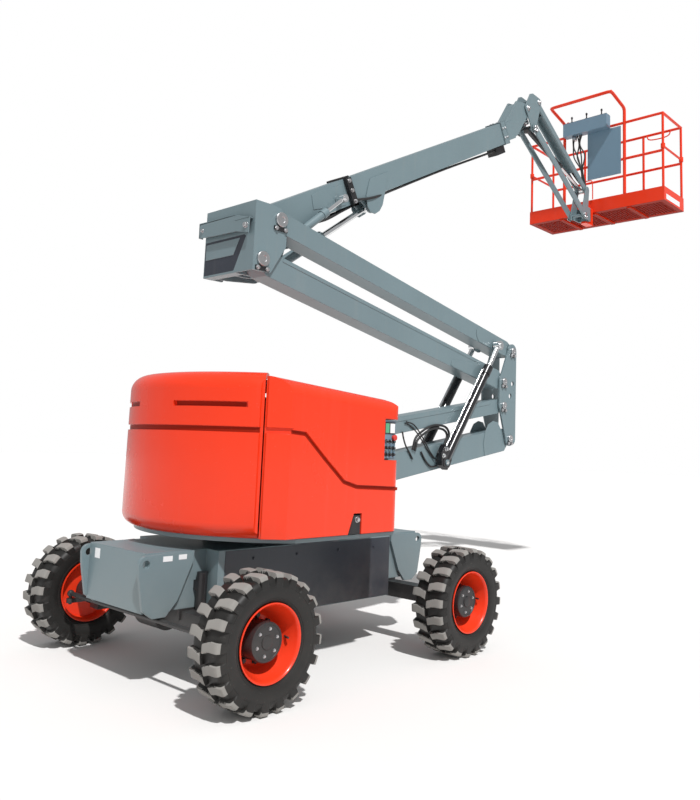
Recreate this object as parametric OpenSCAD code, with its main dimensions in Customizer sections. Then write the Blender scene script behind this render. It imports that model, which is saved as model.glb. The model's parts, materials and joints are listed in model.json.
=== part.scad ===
// Articulating boom lift on four wheels: chassis, slewing turret, folding riser,
// telescopic main boom, jib and work platform. Millimetres, +X forward along the boom,
// +Y left, +Z up, ground at Z = 0. It stands with its boom part raised.

/* [Wheels and chassis] */
// Distance between the axles
wheelbase = 1894; // [1700:1:2200]
// Distance between the wheel centres across the machine
track = 2020; // [1900:1:2200]
// Outside diameter of a tyre over its lugs
tyre_od = 772; // [700:1:840]
// Width of a tyre
tyre_w = 270; // [240:1:300]
// Outside diameter of the rim flange
rim_od = 440; // [400:1:470]
// Width of the rim over its flanges
rim_w = 246; // [220:1:260]
// Height of the tread lugs
lug_h = 26; // [15:1:32]
// Number of tread lugs on each side of a tyre
lug_count = 20; // [14:1:24]
// Distance between the steering pins
kingpin_span = 1580; // [1540:1:1620]
// Half width of the chassis at its steered end
nose_half_w = 332; // [300:1:380]
// Half width of the chassis between the axles
waist_half_w = 460; // [420:1:500]
// Height of the chassis top above the ground
chassis_top = 806; // [780:1:830]
// Height of the chassis belly above the ground
chassis_belly = 360; // [330:1:400]
// Length of the chassis from the slew axis to its steered end
chassis_back = 1277; // [1240:1:1320]
// Length of the chassis from the slew axis to its boom end
chassis_front = 1257; // [1220:1:1300]
// Radius of the tie-down holes in the chassis cheeks
tie_down_r = 24; // [18:1:30]

/* [Turret] */
// Radius of the tail about the slew axis
tail_r = 1092; // [1085:1:1150]
// Height of the tail cover's top above the ground
tail_top = 1935; // [1915:1:1960]
// Half width of the hoods
hood_half_w = 875; // [840:1:920]
// Reach of the hoods in front of the slew axis
hood_front = 415; // [360:1:440]
// Height of the hoods' sloping top above the slew axis
hood_top = 1853; // [1830:1:1880]
// Slope of the hoods' top towards the boom
hood_slope = 4; // [3:0.5:5]
// Half width of the channel between the hoods
channel_half_w = 330; // [320:1:345]
// Thickness of the hood shells
hood_t = 16; // [10:1:24]

/* [Riser] */
// Length of the riser beams from pin to pin
riser_len = 3169; // [3000:1:3300]
// Angle of the lower riser above level as it stands
lower_rest = 9.7; // [8:0.1:12]
// Angle of the upper riser above level as it stands
upper_rest = 10.9; // [9:0.1:13]
// Width of the riser beams
riser_w = 170; // [150:1:180]
// Sideways place of the riser's middle
riser_y = -180; // [-190:1:-170]
// Radius of the riser pins
pin_r = 28; // [22:0.5:34]
// Radius of the bosses round the riser pins
boss_r = 62; // [54:1:70]

/* [Main boom and jib] */
// Angle of the main boom above level as it stands
boom_rest = 29.1; // [20:0.1:40]
// Length of the outer boom tube from its pin
boom_len = 3900; // [3600:1:4100]
// Width of the outer boom tube
boom_w = 180; // [160:1:190]
// Depth of the outer boom tube
boom_h = 228; // [210:1:240]
// Wall of the boom tubes
boom_wall = 9; // [6:1:12]
// Sideways place of the main boom's middle
boom_y = 110; // [106:1:116]
// Length of a jib arm from pin to pin
jib_len = 1420; // [1300:1:1500]
// Angle of the jib below level as it stands
jib_rest = 31; // [20:0.5:40]
// Radius of the jib pins
jib_pin_r = 18; // [14:0.5:22]

/* [Platform] */
// Length of the platform across the boom
platform_l = 1890; // [1700:1:2000]
// Width of the platform along the boom
platform_d = 620; // [560:1:760]
// Height of the top rail above the platform floor
rail_h = 1098; // [1050:1:1150]
// Radius of the rail tubes
rail_r = 17; // [14:0.5:20]
// Height of the toe board
toe_h = 150; // [120:1:180]

/* [Hidden] */
$fn = 48;

// Running clearance of a pin in its bore, and the gap between flat faces that move
run = 0.05;
slip = 6;
eps = 1;
LEFT = 1;
RIGHT = -1;

// Wheels and axles
axle_z = tyre_od / 2;
steer_x = -wheelbase / 2;
drive_x = wheelbase / 2;
hub_r = 116;
hub_face = track / 2 - 40;
spindle_r = 45;
kingpin_y = kingpin_span / 2;
kingpin_r = 20;
knuckle_r = 46;
axle_h = 110;
axle_w = 120;
arm_back = 200;
arm_in = 0;
tie_rod_r = 16;
tie_pin_r = 11;
nose_belly = axle_z + axle_h / 2 + 12;
tie_out = 4;
tie_z = chassis_top - 62;

// Turret heights
ring_r = 520;
ring_h = 66;
deck_z = chassis_top + ring_h + 0.3;
deck_t = 26;
hood_bottom = deck_z + deck_t + slip;
tail_split = 44;
tail_front = 640;
split_gap = 8;
tail_round = 110;
foot_round = 90;
seam_z = 1549;
seam_h = 36;
seam_depth = 14;
hinge_y = channel_half_w + 14;
hinge_drop = 40;
hinge_pin_r = 8;

// Riser pins, each as [x, z]
A4 = [-380, 1089];
link_up = [-120, 321];
mid_gap = 237;
mid_up = [150, 319];
function polar(len, ang) = [len * cos(ang), len * sin(ang)];
P4 = A4 + polar(riser_len, lower_rest);
A3 = A4 + link_up;
P3 = P4 + link_up;
P2 = P3 + [0, mid_gap];
P1 = P2 + mid_up;
E2 = P2 + polar(riser_len, 180 - upper_rest);
E1 = E2 + mid_up;
plate_t = 18;
lower_beam_h = 220;
lower_link_h = 138;
upper_beam_h = 186;
upper_link_h = 156;
beam_wall = 10;
near_face = riser_y - riser_w / 2;
far_face = riser_y + riser_w / 2;
near_plate = near_face - slip - plate_t;
far_plate = far_face + slip;

// Elbow outline
elbow_half_w = 290;
elbow_back = E2[0] - 84;
elbow_top = E1[1] + 94;
elbow_low = E2[1] - 90;

// Main boom frame: a place along the boom and above its middle line, as [x, z]
function on_boom(along, up) = E1 + polar(along, boom_rest) + polar(up, boom_rest + 90);
boom_near = boom_y - boom_w / 2;
fly_gap = 9;
fly_w = boom_w - 2 * boom_wall - 2 * fly_gap;
fly_h = boom_h - 2 * boom_wall - 2 * fly_gap;
fly_tail = 1900;
fly_tip = 200;
pad_gap = 0.3;
pad_len = 60;

// Jib pins
J1 = on_boom(boom_len + 615, 167);
J2 = J1 + [124, -200];
jib_up = [110, 355];
U1 = J2 + jib_up;
K2 = J2 + polar(jib_len, -jib_rest);
K1 = K2 + jib_up;
jib_plate_t = 12;
jib_upper_in = 44;
jib_upper_t = 20;
jib_plate_in = jib_upper_in + jib_upper_t + slip;
jib_lower_in = jib_plate_in + jib_plate_t + slip;
jib_lower_t = 18;
jib_lower_h = 84;
jib_upper_h = 72;
jib_boss_r = 44;

// Platform
rotator_x = K2[0] + 190;
rotator_r = 55;
rotator_z = K2[1] - 35;
rotator_h = 170;
rotator_pin_r = 25;
lug_t = 20;
platform_x = rotator_x + 130;
platform_y = boom_y - 50;
floor_z = K2[1] + 138;
floor_t = 24;
rail_top = floor_z + rail_h;
rail_mid = floor_z + rail_h * 0.56;
toe_t = 6;
post_r = rail_r - 1.5;
post_in = rail_r + toe_t - 4;
collar_r = rail_r + 10;
gate_z = rail_mid + rail_r + 36;
hoop_z = rail_top + 284;
hoop_lean = 380;
hoop_rise = 90;

// Cylinders: base pin and rod eye as [x, z]
riser_base = A4 + polar(2035, lower_rest - 1.5);
riser_eye = P1 + [-316, 19];
boom_base = E1 + [177, -328];
boom_eye = on_boom(1385, -192);
master_base = E1 + [247, -88];
master_eye = on_boom(970, -36);
level_base = on_boom(boom_len + 270, -30);
level_eye = J1 + [86, -123];

// Whole extent along X, which places the origin at its middle
extent_back = max(wheelbase / 2 + tyre_od / 2, chassis_back, tail_r);
extent_front = platform_x + platform_d - post_in + collar_r;
origin_x = (extent_front - extent_back) / 2;

body_orange = [0.86, 0.16, 0.07];
frame_grey = [0.45, 0.51, 0.53];
dark_navy = [0.10, 0.12, 0.17];
tyre_black = [0.10, 0.10, 0.10];
bare_steel = [0.75, 0.76, 0.78];
black_paint = [0.07, 0.07, 0.08];

// General shapes

// Extrudes a flat [x, z] outline sideways from y over a thickness t
module slab(y, t) {
    translate([0, y + t, 0]) rotate([90, 0, 0]) linear_extrude(t) children();
}

// A pin or boss along Y at the [x, z] point p, from y over a length len
module pin(p, r, y, len) {
    translate([p[0], y, p[1]]) rotate([-90, 0, 0]) cylinder(r = r, h = len);
}

function angle_of(p, q) = atan2(q[1] - p[1], q[0] - p[0]);
function span_of(p, q) = norm(q - p);

// Places children with +X running from p towards q, in the plane y
module along(p, q, y) {
    translate([p[0], y, p[1]]) rotate([0, -angle_of(p, q), 0]) children();
}

// A flat bar with round ends as a 2D outline between two [x, z] points
module bar_outline(p, q, r) {
    translate(p) circle(r);
    translate(q) circle(r);
    translate(p) rotate(angle_of(p, q)) translate([0, -r]) square([span_of(p, q), 2 * r]);
}

// Places a flat outline at p with its X running towards q
module toward(p, q) {
    translate(p) rotate(angle_of(p, q)) children();
}

// A square tube beam whose tapered ends close round a bored boss at each pin
module pinned_beam(p, q, w, h, wall, y) {
    len = span_of(p, q);
    taper = boss_r + 18;
    neck = boss_r - 8;
    difference() {
        slab(y - w / 2, w) difference() {
            union() {
                for (end = [p, q]) translate(end) circle(boss_r);
                toward(p, q) polygon([[12, -neck], [taper, -h / 2], [len - taper, -h / 2], [len - 12,
                    -neck],
                    [len - 12, neck], [len - taper, h / 2], [taper, h / 2], [12, neck]]);
            }
            for (end = [p, q]) translate(end) circle(pin_r + run);
        }
        slab(y - w / 2 + wall, w - 2 * wall) toward(p, q)
            translate([taper + 20, -h / 2 + wall]) square([len - 2 * taper - 40, h - 2 * wall]);
        // Hose opening in the far wall
        slab(y, w) toward(p, q) translate([len / 2 - 160, -28]) square([320, 56]);
    }
}

// Hydraulic cylinder barrel from its base eye p towards the rod eye q
module barrel(p, q, y, r, len, eye_r, eye_w, bore_r, rod_r) {
    difference() {
        union() {
            pin(p, eye_r, y - eye_w / 2, eye_w);
            along(p, q, y) rotate([0, 90, 0]) {
                cylinder(r = r, h = len);
                translate([0, 0, len - 2 * r]) cylinder(r = r * 1.18, h = 2 * r);
            }
        }
        pin(p, bore_r + run, y - 2 * r, 4 * r);
        along(p, q, y) rotate([0, 90, 0])
            translate([0, 0, eye_r + 6]) cylinder(r = rod_r + run, h = len);
    }
}

// Cylinder rod, its tail inside the barrel, ending in an eye with its pin at q
module rod(p, q, y, r, tail, eye_r, eye_w, pin_w) {
    len = span_of(p, q);
    along(p, q, y) rotate([0, 90, 0]) translate([0, 0, tail]) cylinder(r = r, h = len - tail);
    pin(q, eye_r, y - eye_w / 2, eye_w);
    pin(q, eye_r * 0.55, y - pin_w / 2, pin_w);
}

// A straight rail tube between two points
module tube(a, b, r) {
    d = b - a;
    translate(a) rotate([0, acos(d[2] / norm(d)), atan2(d[1], d[0])]) cylinder(r = r, h = norm(d), $fn =
        20);
}

// Chassis

module chassis() {
    nose_front = steer_x + 330;
    color(frame_grey) difference() {
        union() {
            // Steered end with its square nose
            translate([-chassis_back, -nose_half_w, nose_belly])
                cube([nose_front + chassis_back, 2 * nose_half_w, chassis_top - nose_belly]);
            // Side boxes between the axles
            translate([-838, -waist_half_w, chassis_belly])
                cube([1628, 2 * waist_half_w, chassis_top - chassis_belly]);
            // Boom end
            translate([700, -nose_half_w, nose_belly])
                cube([chassis_front - 700, 2 * nose_half_w, chassis_top - nose_belly]);
            for (side = [LEFT, RIGHT]) {
                slab(side * (nose_half_w + 12) - 12, 24) tie_cheek(-chassis_back, 1);
                slab(side * (nose_half_w + 12) - 12, 24) tie_cheek(chassis_front, -1);
            }
        }
        // Room for the steered axle and its swing
        translate([steer_x - 160, -waist_half_w - eps, chassis_belly - eps])
            cube([320, 2 * waist_half_w + 2 * eps, nose_belly - chassis_belly + eps]);
        // Open nose below its top plate, behind the end panel
        translate([-chassis_back + 30, -nose_half_w + 20, nose_belly - eps])
            cube([460, 2 * nose_half_w - 40, chassis_top - nose_belly - 40]);
        // Hollow boom end and side boxes, open below
        translate([820, -nose_half_w + 20, nose_belly - eps])
            cube([chassis_front - 850, 2 * nose_half_w - 40, chassis_top - nose_belly - 40]);
        translate([-600, -waist_half_w + 20, chassis_belly - eps])
            cube([1370, 2 * waist_half_w - 40, chassis_top - chassis_belly - 40]);
        for (end = [-chassis_back - tie_out, chassis_front + tie_out]) for (side = [LEFT, RIGHT])
            pin([end, tie_z], tie_down_r, side * (nose_half_w + 19) - 20, 40);
    }
}

// Cheek plate that stands past the chassis end x round its tie-down hole, pointing inward by dir
module tie_cheek(x, dir) {
    translate([x - dir * tie_out, tie_z]) circle(tie_down_r + 26);
    polygon([[x - dir * (tie_out + tie_down_r + 26), tie_z], [x - dir * (tie_out + tie_down_r + 20),
        tie_z - 70],
        [x - dir * 10, nose_belly + 20], [x + dir * 60, nose_belly - 30], [x + dir * 150, nose_belly - 30],
        [x + dir * 230, nose_belly + 60], [x + dir * 330, chassis_top - 60], [x + dir * 330,
            chassis_top - 1],
        [x - dir * 6, tie_z + tie_down_r + 26]]);
}

// Axle beam with a bulge for its gears, under the chassis at x
module axle_beam(x, half_len) {
    translate([x - axle_w / 2, -half_len, axle_z - axle_h / 2]) cube([axle_w, 2 * half_len, axle_h]);
    translate([x, -120, axle_z]) rotate([-90, 0, 0]) cylinder(r = 105, h = 240);
    for (side = [LEFT, RIGHT])
        translate([x - 70, side * 295 - 40, axle_z]) cube([140, 80, nose_belly - axle_z]);
}

module steer_axle() {
    fork = knuckle_r + slip;
    color(black_paint) difference() {
        union() {
            axle_beam(steer_x, kingpin_y - 70);
            for (side = [LEFT, RIGHT]) for (end = [-1, 1])
                translate([steer_x, 0, axle_z + end * 82]) hull() {
                    translate([-40, side * (kingpin_y - 90) - 20, -18]) cube([80, 40, 36]);
                    translate([0, side * kingpin_y, -18]) cylinder(r = 42, h = 36, $fn = 32);
                }
            for (side = [LEFT, RIGHT])
                translate([steer_x - 50, side * (kingpin_y - 88) - 20, axle_z - 100]) cube([100, 40, 200]);
        }
        for (side = [LEFT, RIGHT])
            translate([steer_x, side * kingpin_y, axle_z - 120]) cylinder(r = kingpin_r + run, h = 240);
    }
}

module drive_axle() {
    color(black_paint) difference() {
        union() {
            axle_beam(drive_x, hub_face - 60);
            for (side = [LEFT, RIGHT])
                translate([drive_x, side * (hub_face - 60), axle_z]) rotate([-90 * side, 0, 0]) {
                    cylinder(r = spindle_r + 40, h = 30);
                    cylinder(r = spindle_r, h = 120);
                }
        }
    }
}

// Locking struts that steady the steered axle
module axle_struts() {
    color(black_paint) for (side = [LEFT, RIGHT])
        translate([steer_x + 57, side * (nose_half_w + 42), axle_z + axle_h / 2 + 0.5]) {
            cylinder(r = 34, h = 230);
            translate([-34, -side * 20.85 - 20.85, 120]) cube([68, 41.7, 60]);
        }
}

module slew_ring() {
    color(dark_navy) translate([0, 0, chassis_top]) difference() {
        cylinder(r = ring_r, h = ring_h);
        translate([0, 0, -eps]) cylinder(r = ring_r - 110, h = ring_h + 2 * eps);
    }
}

// Steering knuckle on the side given, with its pin, spindle and steering arm
module knuckle(side) {
    color(black_paint) {
        translate([steer_x, side * kingpin_y, axle_z - 58]) cylinder(r = knuckle_r, h = 116);
        translate([steer_x, side * kingpin_y, axle_z - 112]) cylinder(r = kingpin_r, h = 224);
        translate([steer_x, side * kingpin_y, axle_z]) rotate([-90 * side, 0, 0]) {
            cylinder(r = spindle_r, h = hub_face + 60 - kingpin_y);
            translate([0, 0, 50]) cylinder(r = spindle_r + 40, h = hub_face - 60 - kingpin_y - 20);
        }
        difference() {
            translate([steer_x - arm_back, side * (kingpin_y - arm_in) - 22, axle_z - 50]) {
                cube([arm_back, 44, 30]);
                translate([0, 22, 0]) cylinder(r = 26, h = 30);
            }
            translate([steer_x - arm_back, side * (kingpin_y - arm_in), axle_z - 60])
                cylinder(r = tie_pin_r + run, h = 60);
        }
    }
}

module knuckle_left() { knuckle(LEFT); }
module knuckle_right() { knuckle(RIGHT); }

// Track rod between the steering arms, with a pin down into each arm's end
module tie_rod() {
    y = kingpin_y - arm_in;
    z = axle_z + 12;
    color(bare_steel) translate([steer_x - arm_back, 0, z]) {
        translate([0, -y, 0]) rotate([-90, 0, 0]) cylinder(r = tie_rod_r, h = 2 * y);
        for (side = [LEFT, RIGHT]) translate([0, side * y, 0]) {
            sphere(r = 24);
            translate([0, 0, -72]) cylinder(r = tie_pin_r, h = 72);
        }
    }
}

// Wheels

// One tread lug, drawn flat as [around, across] and raised along the radius
module lug(tip_r) {
    linear_extrude(lug_h + 10) polygon([[-34, 6], [20, 6], [44, 62], [44, tyre_w / 2 - 12], [10,
        tyre_w / 2 - 4],
        [-14, tyre_w / 2 - 12], [-14, 70]]);
}

module tyre(x, side) {
    w = tyre_w / 2;
    r = tyre_od / 2 - lug_h;
    bead = rim_od / 2 - 15.6;
    top = sqrt(pow(tyre_od / 2, 2) - pow(44, 2));
    // Turn that stands the tyre on a lug's corner
    lead = asin(44 / (tyre_od / 2));
    color(tyre_black) translate([x, side * track / 2, axle_z]) rotate([-90, 0, 0]) {
        rotate_extrude($fn = 72)
            polygon([[bead, -w + 30], [bead + 20, -w + 22], [bead + 60, -w], [r - 50, -w], [r - 14, -w +
                14],
                [r, -w + 44], [r, w - 44], [r - 14, w - 14], [r - 50, w], [bead + 60, w], [bead + 20,
                    w - 22],
                [bead, w - 30]]);
        for (i = [0 : lug_count - 1]) {
            rotate([0, 0, i * 360 / lug_count - lead]) translate([top - lug_h - 10, 0, 0])
                rotate([90, 0, 90]) lug(top);
            rotate([0, 0, (i + 0.5) * 360 / lug_count - lead]) translate([top - lug_h - 10, 0, 0])
                mirror([0, 0, 1]) rotate([90, 0, 90]) lug(top);
        }
    }
}

module rim(x, side) {
    w = rim_w / 2;
    flange = rim_od / 2;
    seat = flange - 15;
    color(body_orange) translate([x, side * track / 2, axle_z]) rotate([-90 * side, 0, 0]) difference() {
        union() {
            rotate_extrude($fn = 72) polygon([[seat - 12, -w], [flange, -w], [flange, -w + 12],
                [seat - 1, -w + 14],
                [seat - 1, w - 14], [flange, w - 12], [flange, w], [seat - 12, w]]);
            translate([0, 0, -60]) cylinder(r = seat - 10, h = 16, $fn = 72);
            translate([0, 0, -60]) cylinder(r = hub_r, h = 152);
        }
        translate([0, 0, -61]) cylinder(r = spindle_r + run, h = 87);
    }
}

module tyre_steer_left() { tyre(steer_x, LEFT); }
module tyre_steer_right() { tyre(steer_x, RIGHT); }
module tyre_drive_left() { tyre(drive_x, LEFT); }
module tyre_drive_right() { tyre(drive_x, RIGHT); }
module rim_steer_left() { rim(steer_x, LEFT); }
module rim_steer_right() { rim(steer_x, RIGHT); }
module rim_drive_left() { rim(drive_x, LEFT); }
module rim_drive_right() { rim(drive_x, RIGHT); }

// Turret

// Height of the hoods' top at x
function top_at(x) = hood_top - x * tan(hood_slope);

// Tower plate that carries the lower riser's pins, as an [x, z] outline
module tower_outline() {
    difference() {
        union() {
            translate(A4) circle(100);
            translate(A3) circle(85);
            polygon([[A4[0] - 240, deck_z + deck_t - eps], A3 + [-85, 0], A3 + [85, 10], A4 + [100, 0],
                [A4[0] + 260, deck_z + deck_t - eps]]);
        }
    }
}

module turntable() {
    color(frame_grey) {
        // Deck, cut to the turret's outline
        translate([0, 0, deck_z]) intersection() {
            cylinder(r = tail_r - foot_round + 3, h = deck_t, $fn = 96);
            translate([-tail_r, -hood_half_w + 30, 0]) cube([tail_r + hood_front - 20,
                2 * hood_half_w - 60, deck_t]);
        }
        // Riser towers on both sides of the beams, with the two fixed pins
        slab(near_plate, plate_t) tower_outline();
        slab(far_plate, plate_t) tower_outline();
        for (p = [A4, A3]) pin(p, pin_r, near_plate - 12, far_plate - near_plate + plate_t + 24);
        // Channel walls that carry the hood hinges
        for (side = [LEFT, RIGHT]) {
            slab(side * (channel_half_w + 5) - 5, 10) polygon([
                [-tail_front + 20, deck_z + deck_t - eps], [hood_front - 40, deck_z + deck_t - eps],
                [hood_front - 40, top_at(hood_front - 40) - 80], [-tail_front + 20, top_at(-tail_front +
                    20) - 80]]);
            hinge_frame(side) for (x = [-480, 0]) translate([x, 0, 0]) {
                rotate([0, 90, 0]) cylinder(r = hinge_pin_r, h = 200);
                translate([70, -side * 9 - 4, -84]) cube([60, 8, 84]);
                translate([70, 0, 0]) rotate([0, 90, 0]) cylinder(r = 12, h = 60);
            }
        }
    }
}

// Places children in the sloping frame of a hood's hinge, whose X runs along the hinge pin
module hinge_frame(side) {
    translate([0, side * hinge_y, hood_top - hinge_drop]) rotate([0, hood_slope, 0]) children();
}

// Tail profile as [radius, z], drawn in by t on its outer side, top and bottom
module tail_profile(inner_r, low, t) {
    top_r = tail_round;
    foot_r = foot_round;
    translate([inner_r, low + foot_r]) square([tail_r - t - inner_r, tail_top - top_r - low - foot_r]);
    translate([inner_r, low + t]) square([tail_r - foot_r - inner_r, foot_r + 20]);
    intersection() {
        translate([tail_r - top_r, tail_top - top_r]) circle(top_r - t);
        translate([tail_r - top_r, tail_top - top_r]) square(top_r);
    }
    intersection() {
        translate([tail_r - foot_r, low + foot_r]) circle(foot_r - t);
        translate([tail_r - foot_r, low]) square(foot_r);
    }
    translate([inner_r, tail_top - top_r - 1]) square([tail_r - top_r - inner_r, top_r + 1 - t]);
}

// The half plane behind the turret's bulkhead
module tail_clip(x) {
    translate([-2 * tail_r, -2 * tail_r, 0]) cube([2 * tail_r - x, 4 * tail_r, 3000]);
}

// Ring-shaped recess in the turret's round back, between two angles from -X
module ring_recess(from, to, z, h, depth) {
    rotate([0, 0, 180 + from]) rotate_extrude(angle = to - from, $fn = 144)
        translate([tail_r - depth, z]) square([60, h]);
}

// Upright valley where the tail cover meets a hood
module split_valley(side) {
    rotate([0, 0, 180 + side * tail_split]) translate([tail_r + 6, 0, 0]) cylinder(r = 24, h = 3000);
}

module tail_cover() {
    color(body_orange) intersection() {
        difference() {
            rotate([0, 0, 180 - tail_split]) difference() {
                rotate_extrude(angle = 2 * tail_split, $fn = 144) tail_profile(400, deck_z + deck_t, 0);
                rotate([0, 0, -5]) rotate_extrude(angle = 2 * tail_split + 10, $fn = 144) union() {
                    tail_profile(380, deck_z + deck_t, 30);
                    translate([380, hood_bottom - 100]) square([tail_r - foot_round - 8 - 380, 400]);
                }
            }
            ring_recess(-tail_split - 4, tail_split + 4, seam_z, seam_h, seam_depth);
            for (a = [-38.7, 10.6]) ring_recess(a, a + 28.1, 1706, 34, 20);
            for (side = [LEFT, RIGHT]) split_valley(side);
        }
        tail_clip(tail_front);
    }
}

module counterweight() {
    color(black_paint) intersection() {
        rotate([0, 0, 180 - tail_split + 1]) rotate_extrude(angle = 2 * tail_split - 2, $fn = 144)
            translate([400, deck_z + deck_t]) square([tail_r - foot_round - 10 - 400, 640]);
        tail_clip(tail_front + 5);
    }
}

// Side hood as a solid on the right, its faces drawn in by t
module hood_body(t, low) {
    front = hood_front - t;
    half = hood_half_w - t;
    corner = 90;
    intersection() {
        translate([0, 0, low]) linear_extrude(2200 - low) difference() {
            union() {
                translate([-tail_front, -half]) square([tail_front + front - corner, half]);
                translate([-tail_front, -half + corner]) square([tail_front + front, half - corner]);
                translate([front - corner, -half + corner]) circle(corner);
                intersection() {
                    circle(tail_r - t, $fn = 144);
                    translate([-tail_r, -half]) square([tail_r, half]);
                    rotate(tail_split) translate([-tail_r, -tail_r]) square([2 * tail_r,
                        tail_r - split_gap - t]);
                }
            }
            translate([-2 * tail_r, -channel_half_w - 2]) square([4 * tail_r, 2 * tail_r]);
        }
        // Sloping top with a rounded outer edge
        translate([0, 0, hood_top]) rotate([0, hood_slope, 0]) translate([-tail_r, 0, 0])
            rotate([90, 0, 90]) linear_extrude(2 * tail_r) union() {
                translate([-half, -1500]) square([half, 1500 - 100]);
                translate([-half + 100 - t, -1500]) square([half - 100 + t, 1500 - t]);
                translate([-half + 100 - t, -100]) circle(100 - t);
            }
        // Rounded front edge of the top
        slab(-tail_r, tail_r) union() {
            translate([-tail_r, 0]) square([tail_r + front, top_at(hood_front) - 110]);
            translate([-tail_r, 0]) square([tail_r + front - 120, 2200]);
            translate([front - 120, top_at(hood_front) - 120]) circle(120);
        }
    }
}

// Side hood shell with the hinge lugs under its inner edge
module hood(side) {
    color(body_orange) mirror([0, side == LEFT ? 1 : 0, 0]) difference() {
        union() {
            difference() {
                hood_body(0, hood_bottom);
                hood_body(hood_t, hood_bottom - 100);
                if (side == RIGHT) controls_recess();
                hood_groove();
                split_valley(LEFT);
                ring_recess(tail_split - 4, 54.5, seam_z, seam_h, seam_depth);
                slab(-hood_half_w - 60, 61 + hood_t) latch_outline();
            }
            hinge_frame(RIGHT) for (x = [-440, 40]) translate([x, 0, 0]) hood_lug();
        }
        hinge_frame(RIGHT) translate([-600, 0, 0]) rotate([0, 90, 0]) cylinder(r = hinge_pin_r + run, h =
            900);
    }
}

// Groove that steps down along the hood's flat side, as drawn on the right hood
module hood_groove() {
    path = [[-760, seam_z + seam_h / 2], [-531, seam_z + 5], [-366, 1412], [-168, 1251], [-41, 1217],
        [420, 1198]];
    n = len(path);
    across = [for (i = [0 : n - 2]) let (d = path[i + 1] - path[i]) [-d[1], d[0]] / norm(d)];
    mitre = [for (i = [0 : n - 1]) let (a = across[max(i - 1, 0)], b = across[min(i, n - 2)]) (a + b)
        / (1 + a * b)];
    slab(-hood_half_w - 5, 5 + seam_depth) polygon(concat([for (i = [0 : n - 1]) path[i] + 14 * mitre[i]],
        [for (i = [n - 1 : -1 : 0]) path[i] - 14 * mitre[i]]));
}

// Notch in the hood's lower edge for its latch
module latch_outline() {
    polygon([[-118, hood_bottom - 20], [-60, 1041], [17, 1041], [17, hood_bottom - 20]]);
}

// One hood lug round the hinge pin, reaching up into the hood's top
module hood_lug() {
    for (x = [-36, 100]) translate([x, 0, 0]) {
        rotate([0, 90, 0]) cylinder(r = 13, h = 50);
        translate([0, -13, 0]) cube([50, 26, hinge_drop - 2]);
    }
}

// Opening at the hood's front corner for the ground controls
module controls_recess() {
    translate([hood_front - 190, -hood_half_w - 50, 1400]) cube([240, 250, 290]);
}

module hood_left() { hood(LEFT); }
module hood_right() { hood(RIGHT); }

module engine() {
    color(dark_navy) translate([-480, 380, deck_z + deck_t]) cube([700, 400, 560]);
}

module tank() {
    color(black_paint) translate([-480, -780, deck_z + deck_t]) cube([560, 400, 420]);
}

// Ground control panel on a post from the deck
module ground_controls() {
    color(frame_grey) {
        translate([hood_front - 180, -hood_half_w + 30, 1410]) cube([130, 150, 270]);
        translate([hood_front - 160, -hood_half_w + 60, deck_z + deck_t]) cube([80, 80,
            1410 - deck_z - deck_t]);
    }
    color(black_paint) for (row = [0, 1]) for (col = [0, 1, 2])
        translate([hood_front - 155 + 40 * col, -hood_half_w + 30, 1470 + 60 * row])
            rotate([90, 0, 0]) cylinder(r = 10, h = 18);
}

// Riser

module lower_riser() {
    color(frame_grey) union() {
        pinned_beam(A4, P4, riser_w, lower_beam_h, beam_wall, riser_y);
        cylinder_ears(riser_base);
    }
    color(bare_steel) cylinder_pins(riser_base);
}

module lower_link() {
    color(frame_grey) pinned_beam(A3, P3, riser_w, lower_link_h, beam_wall, riser_y);
}

module upper_riser() {
    color(frame_grey) pinned_beam(P2, E2, riser_w, upper_beam_h, beam_wall, riser_y);
}

module upper_link() {
    color(frame_grey) union() {
        pinned_beam(P1, E1, riser_w, upper_link_h, beam_wall, riser_y);
        cylinder_ears(riser_eye);
    }
}

// Bosses on both faces of a riser beam for the riser cylinders
module cylinder_ears(p) {
    pin(p, 56, near_face - 10, 10 + eps);
    pin(p, 56, far_face - eps, 10 + eps);
}

// Stub pins that stand out of both bosses
module cylinder_pins(p) {
    pin(p, pin_r - 2, near_face - 104, riser_w + 208);
}

// Link plates at the outer end of the risers, with their four pins
module mid_link() {
    lo = P4 + [-8, -108];
    color(frame_grey) for (y = [near_plate, far_plate]) slab(y, plate_t) difference() {
        union() {
            for (p = [P1, P2, P3, P4]) translate(p) circle(72);
            polygon([P1 + [-72, 0], P1 + [72, 0], [P1[0] + 72, P4[1]], P4 + [72, 0], P4 + [-72, 0],
                P3 + [-72, 0], P2 + [-72, 0]]);
            translate([P1[0] + 10, P4[1]]) circle(62);
        }
        translate([P2[0] + 160, P2[1] - 10]) circle(26);
        translate([P2[0] + 120, P2[1] - 135]) circle(26);
    }
    color(bare_steel) for (p = [P1, P2, P3, P4]) pin(p, pin_r, near_plate - 14, far_plate - near_plate +
        plate_t + 28);
}

// Outline of the elbow's side plate
module elbow_outline() {
    polygon([[elbow_back, elbow_low], [elbow_back, elbow_top], [elbow_back + 140, elbow_top],
        E1 + [0, 85], E1 + [62, 0], E1 + [62, -190], E2 + [80, -88]]);
}

// Fork plate that also reaches forward to the boom's cylinders
module elbow_fork_outline() {
    polygon([[elbow_back, elbow_low], [elbow_back, elbow_top], [elbow_back + 100, elbow_top],
        E1 + [0, 85], E1 + [70, 40], master_base + [0, 52], master_base + [50, 0], boom_base + [55, 0],
        boom_base + [0, -52], E2 + [80, -88]]);
    for (p = [master_base, boom_base]) translate(p) circle(52);
}

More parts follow.
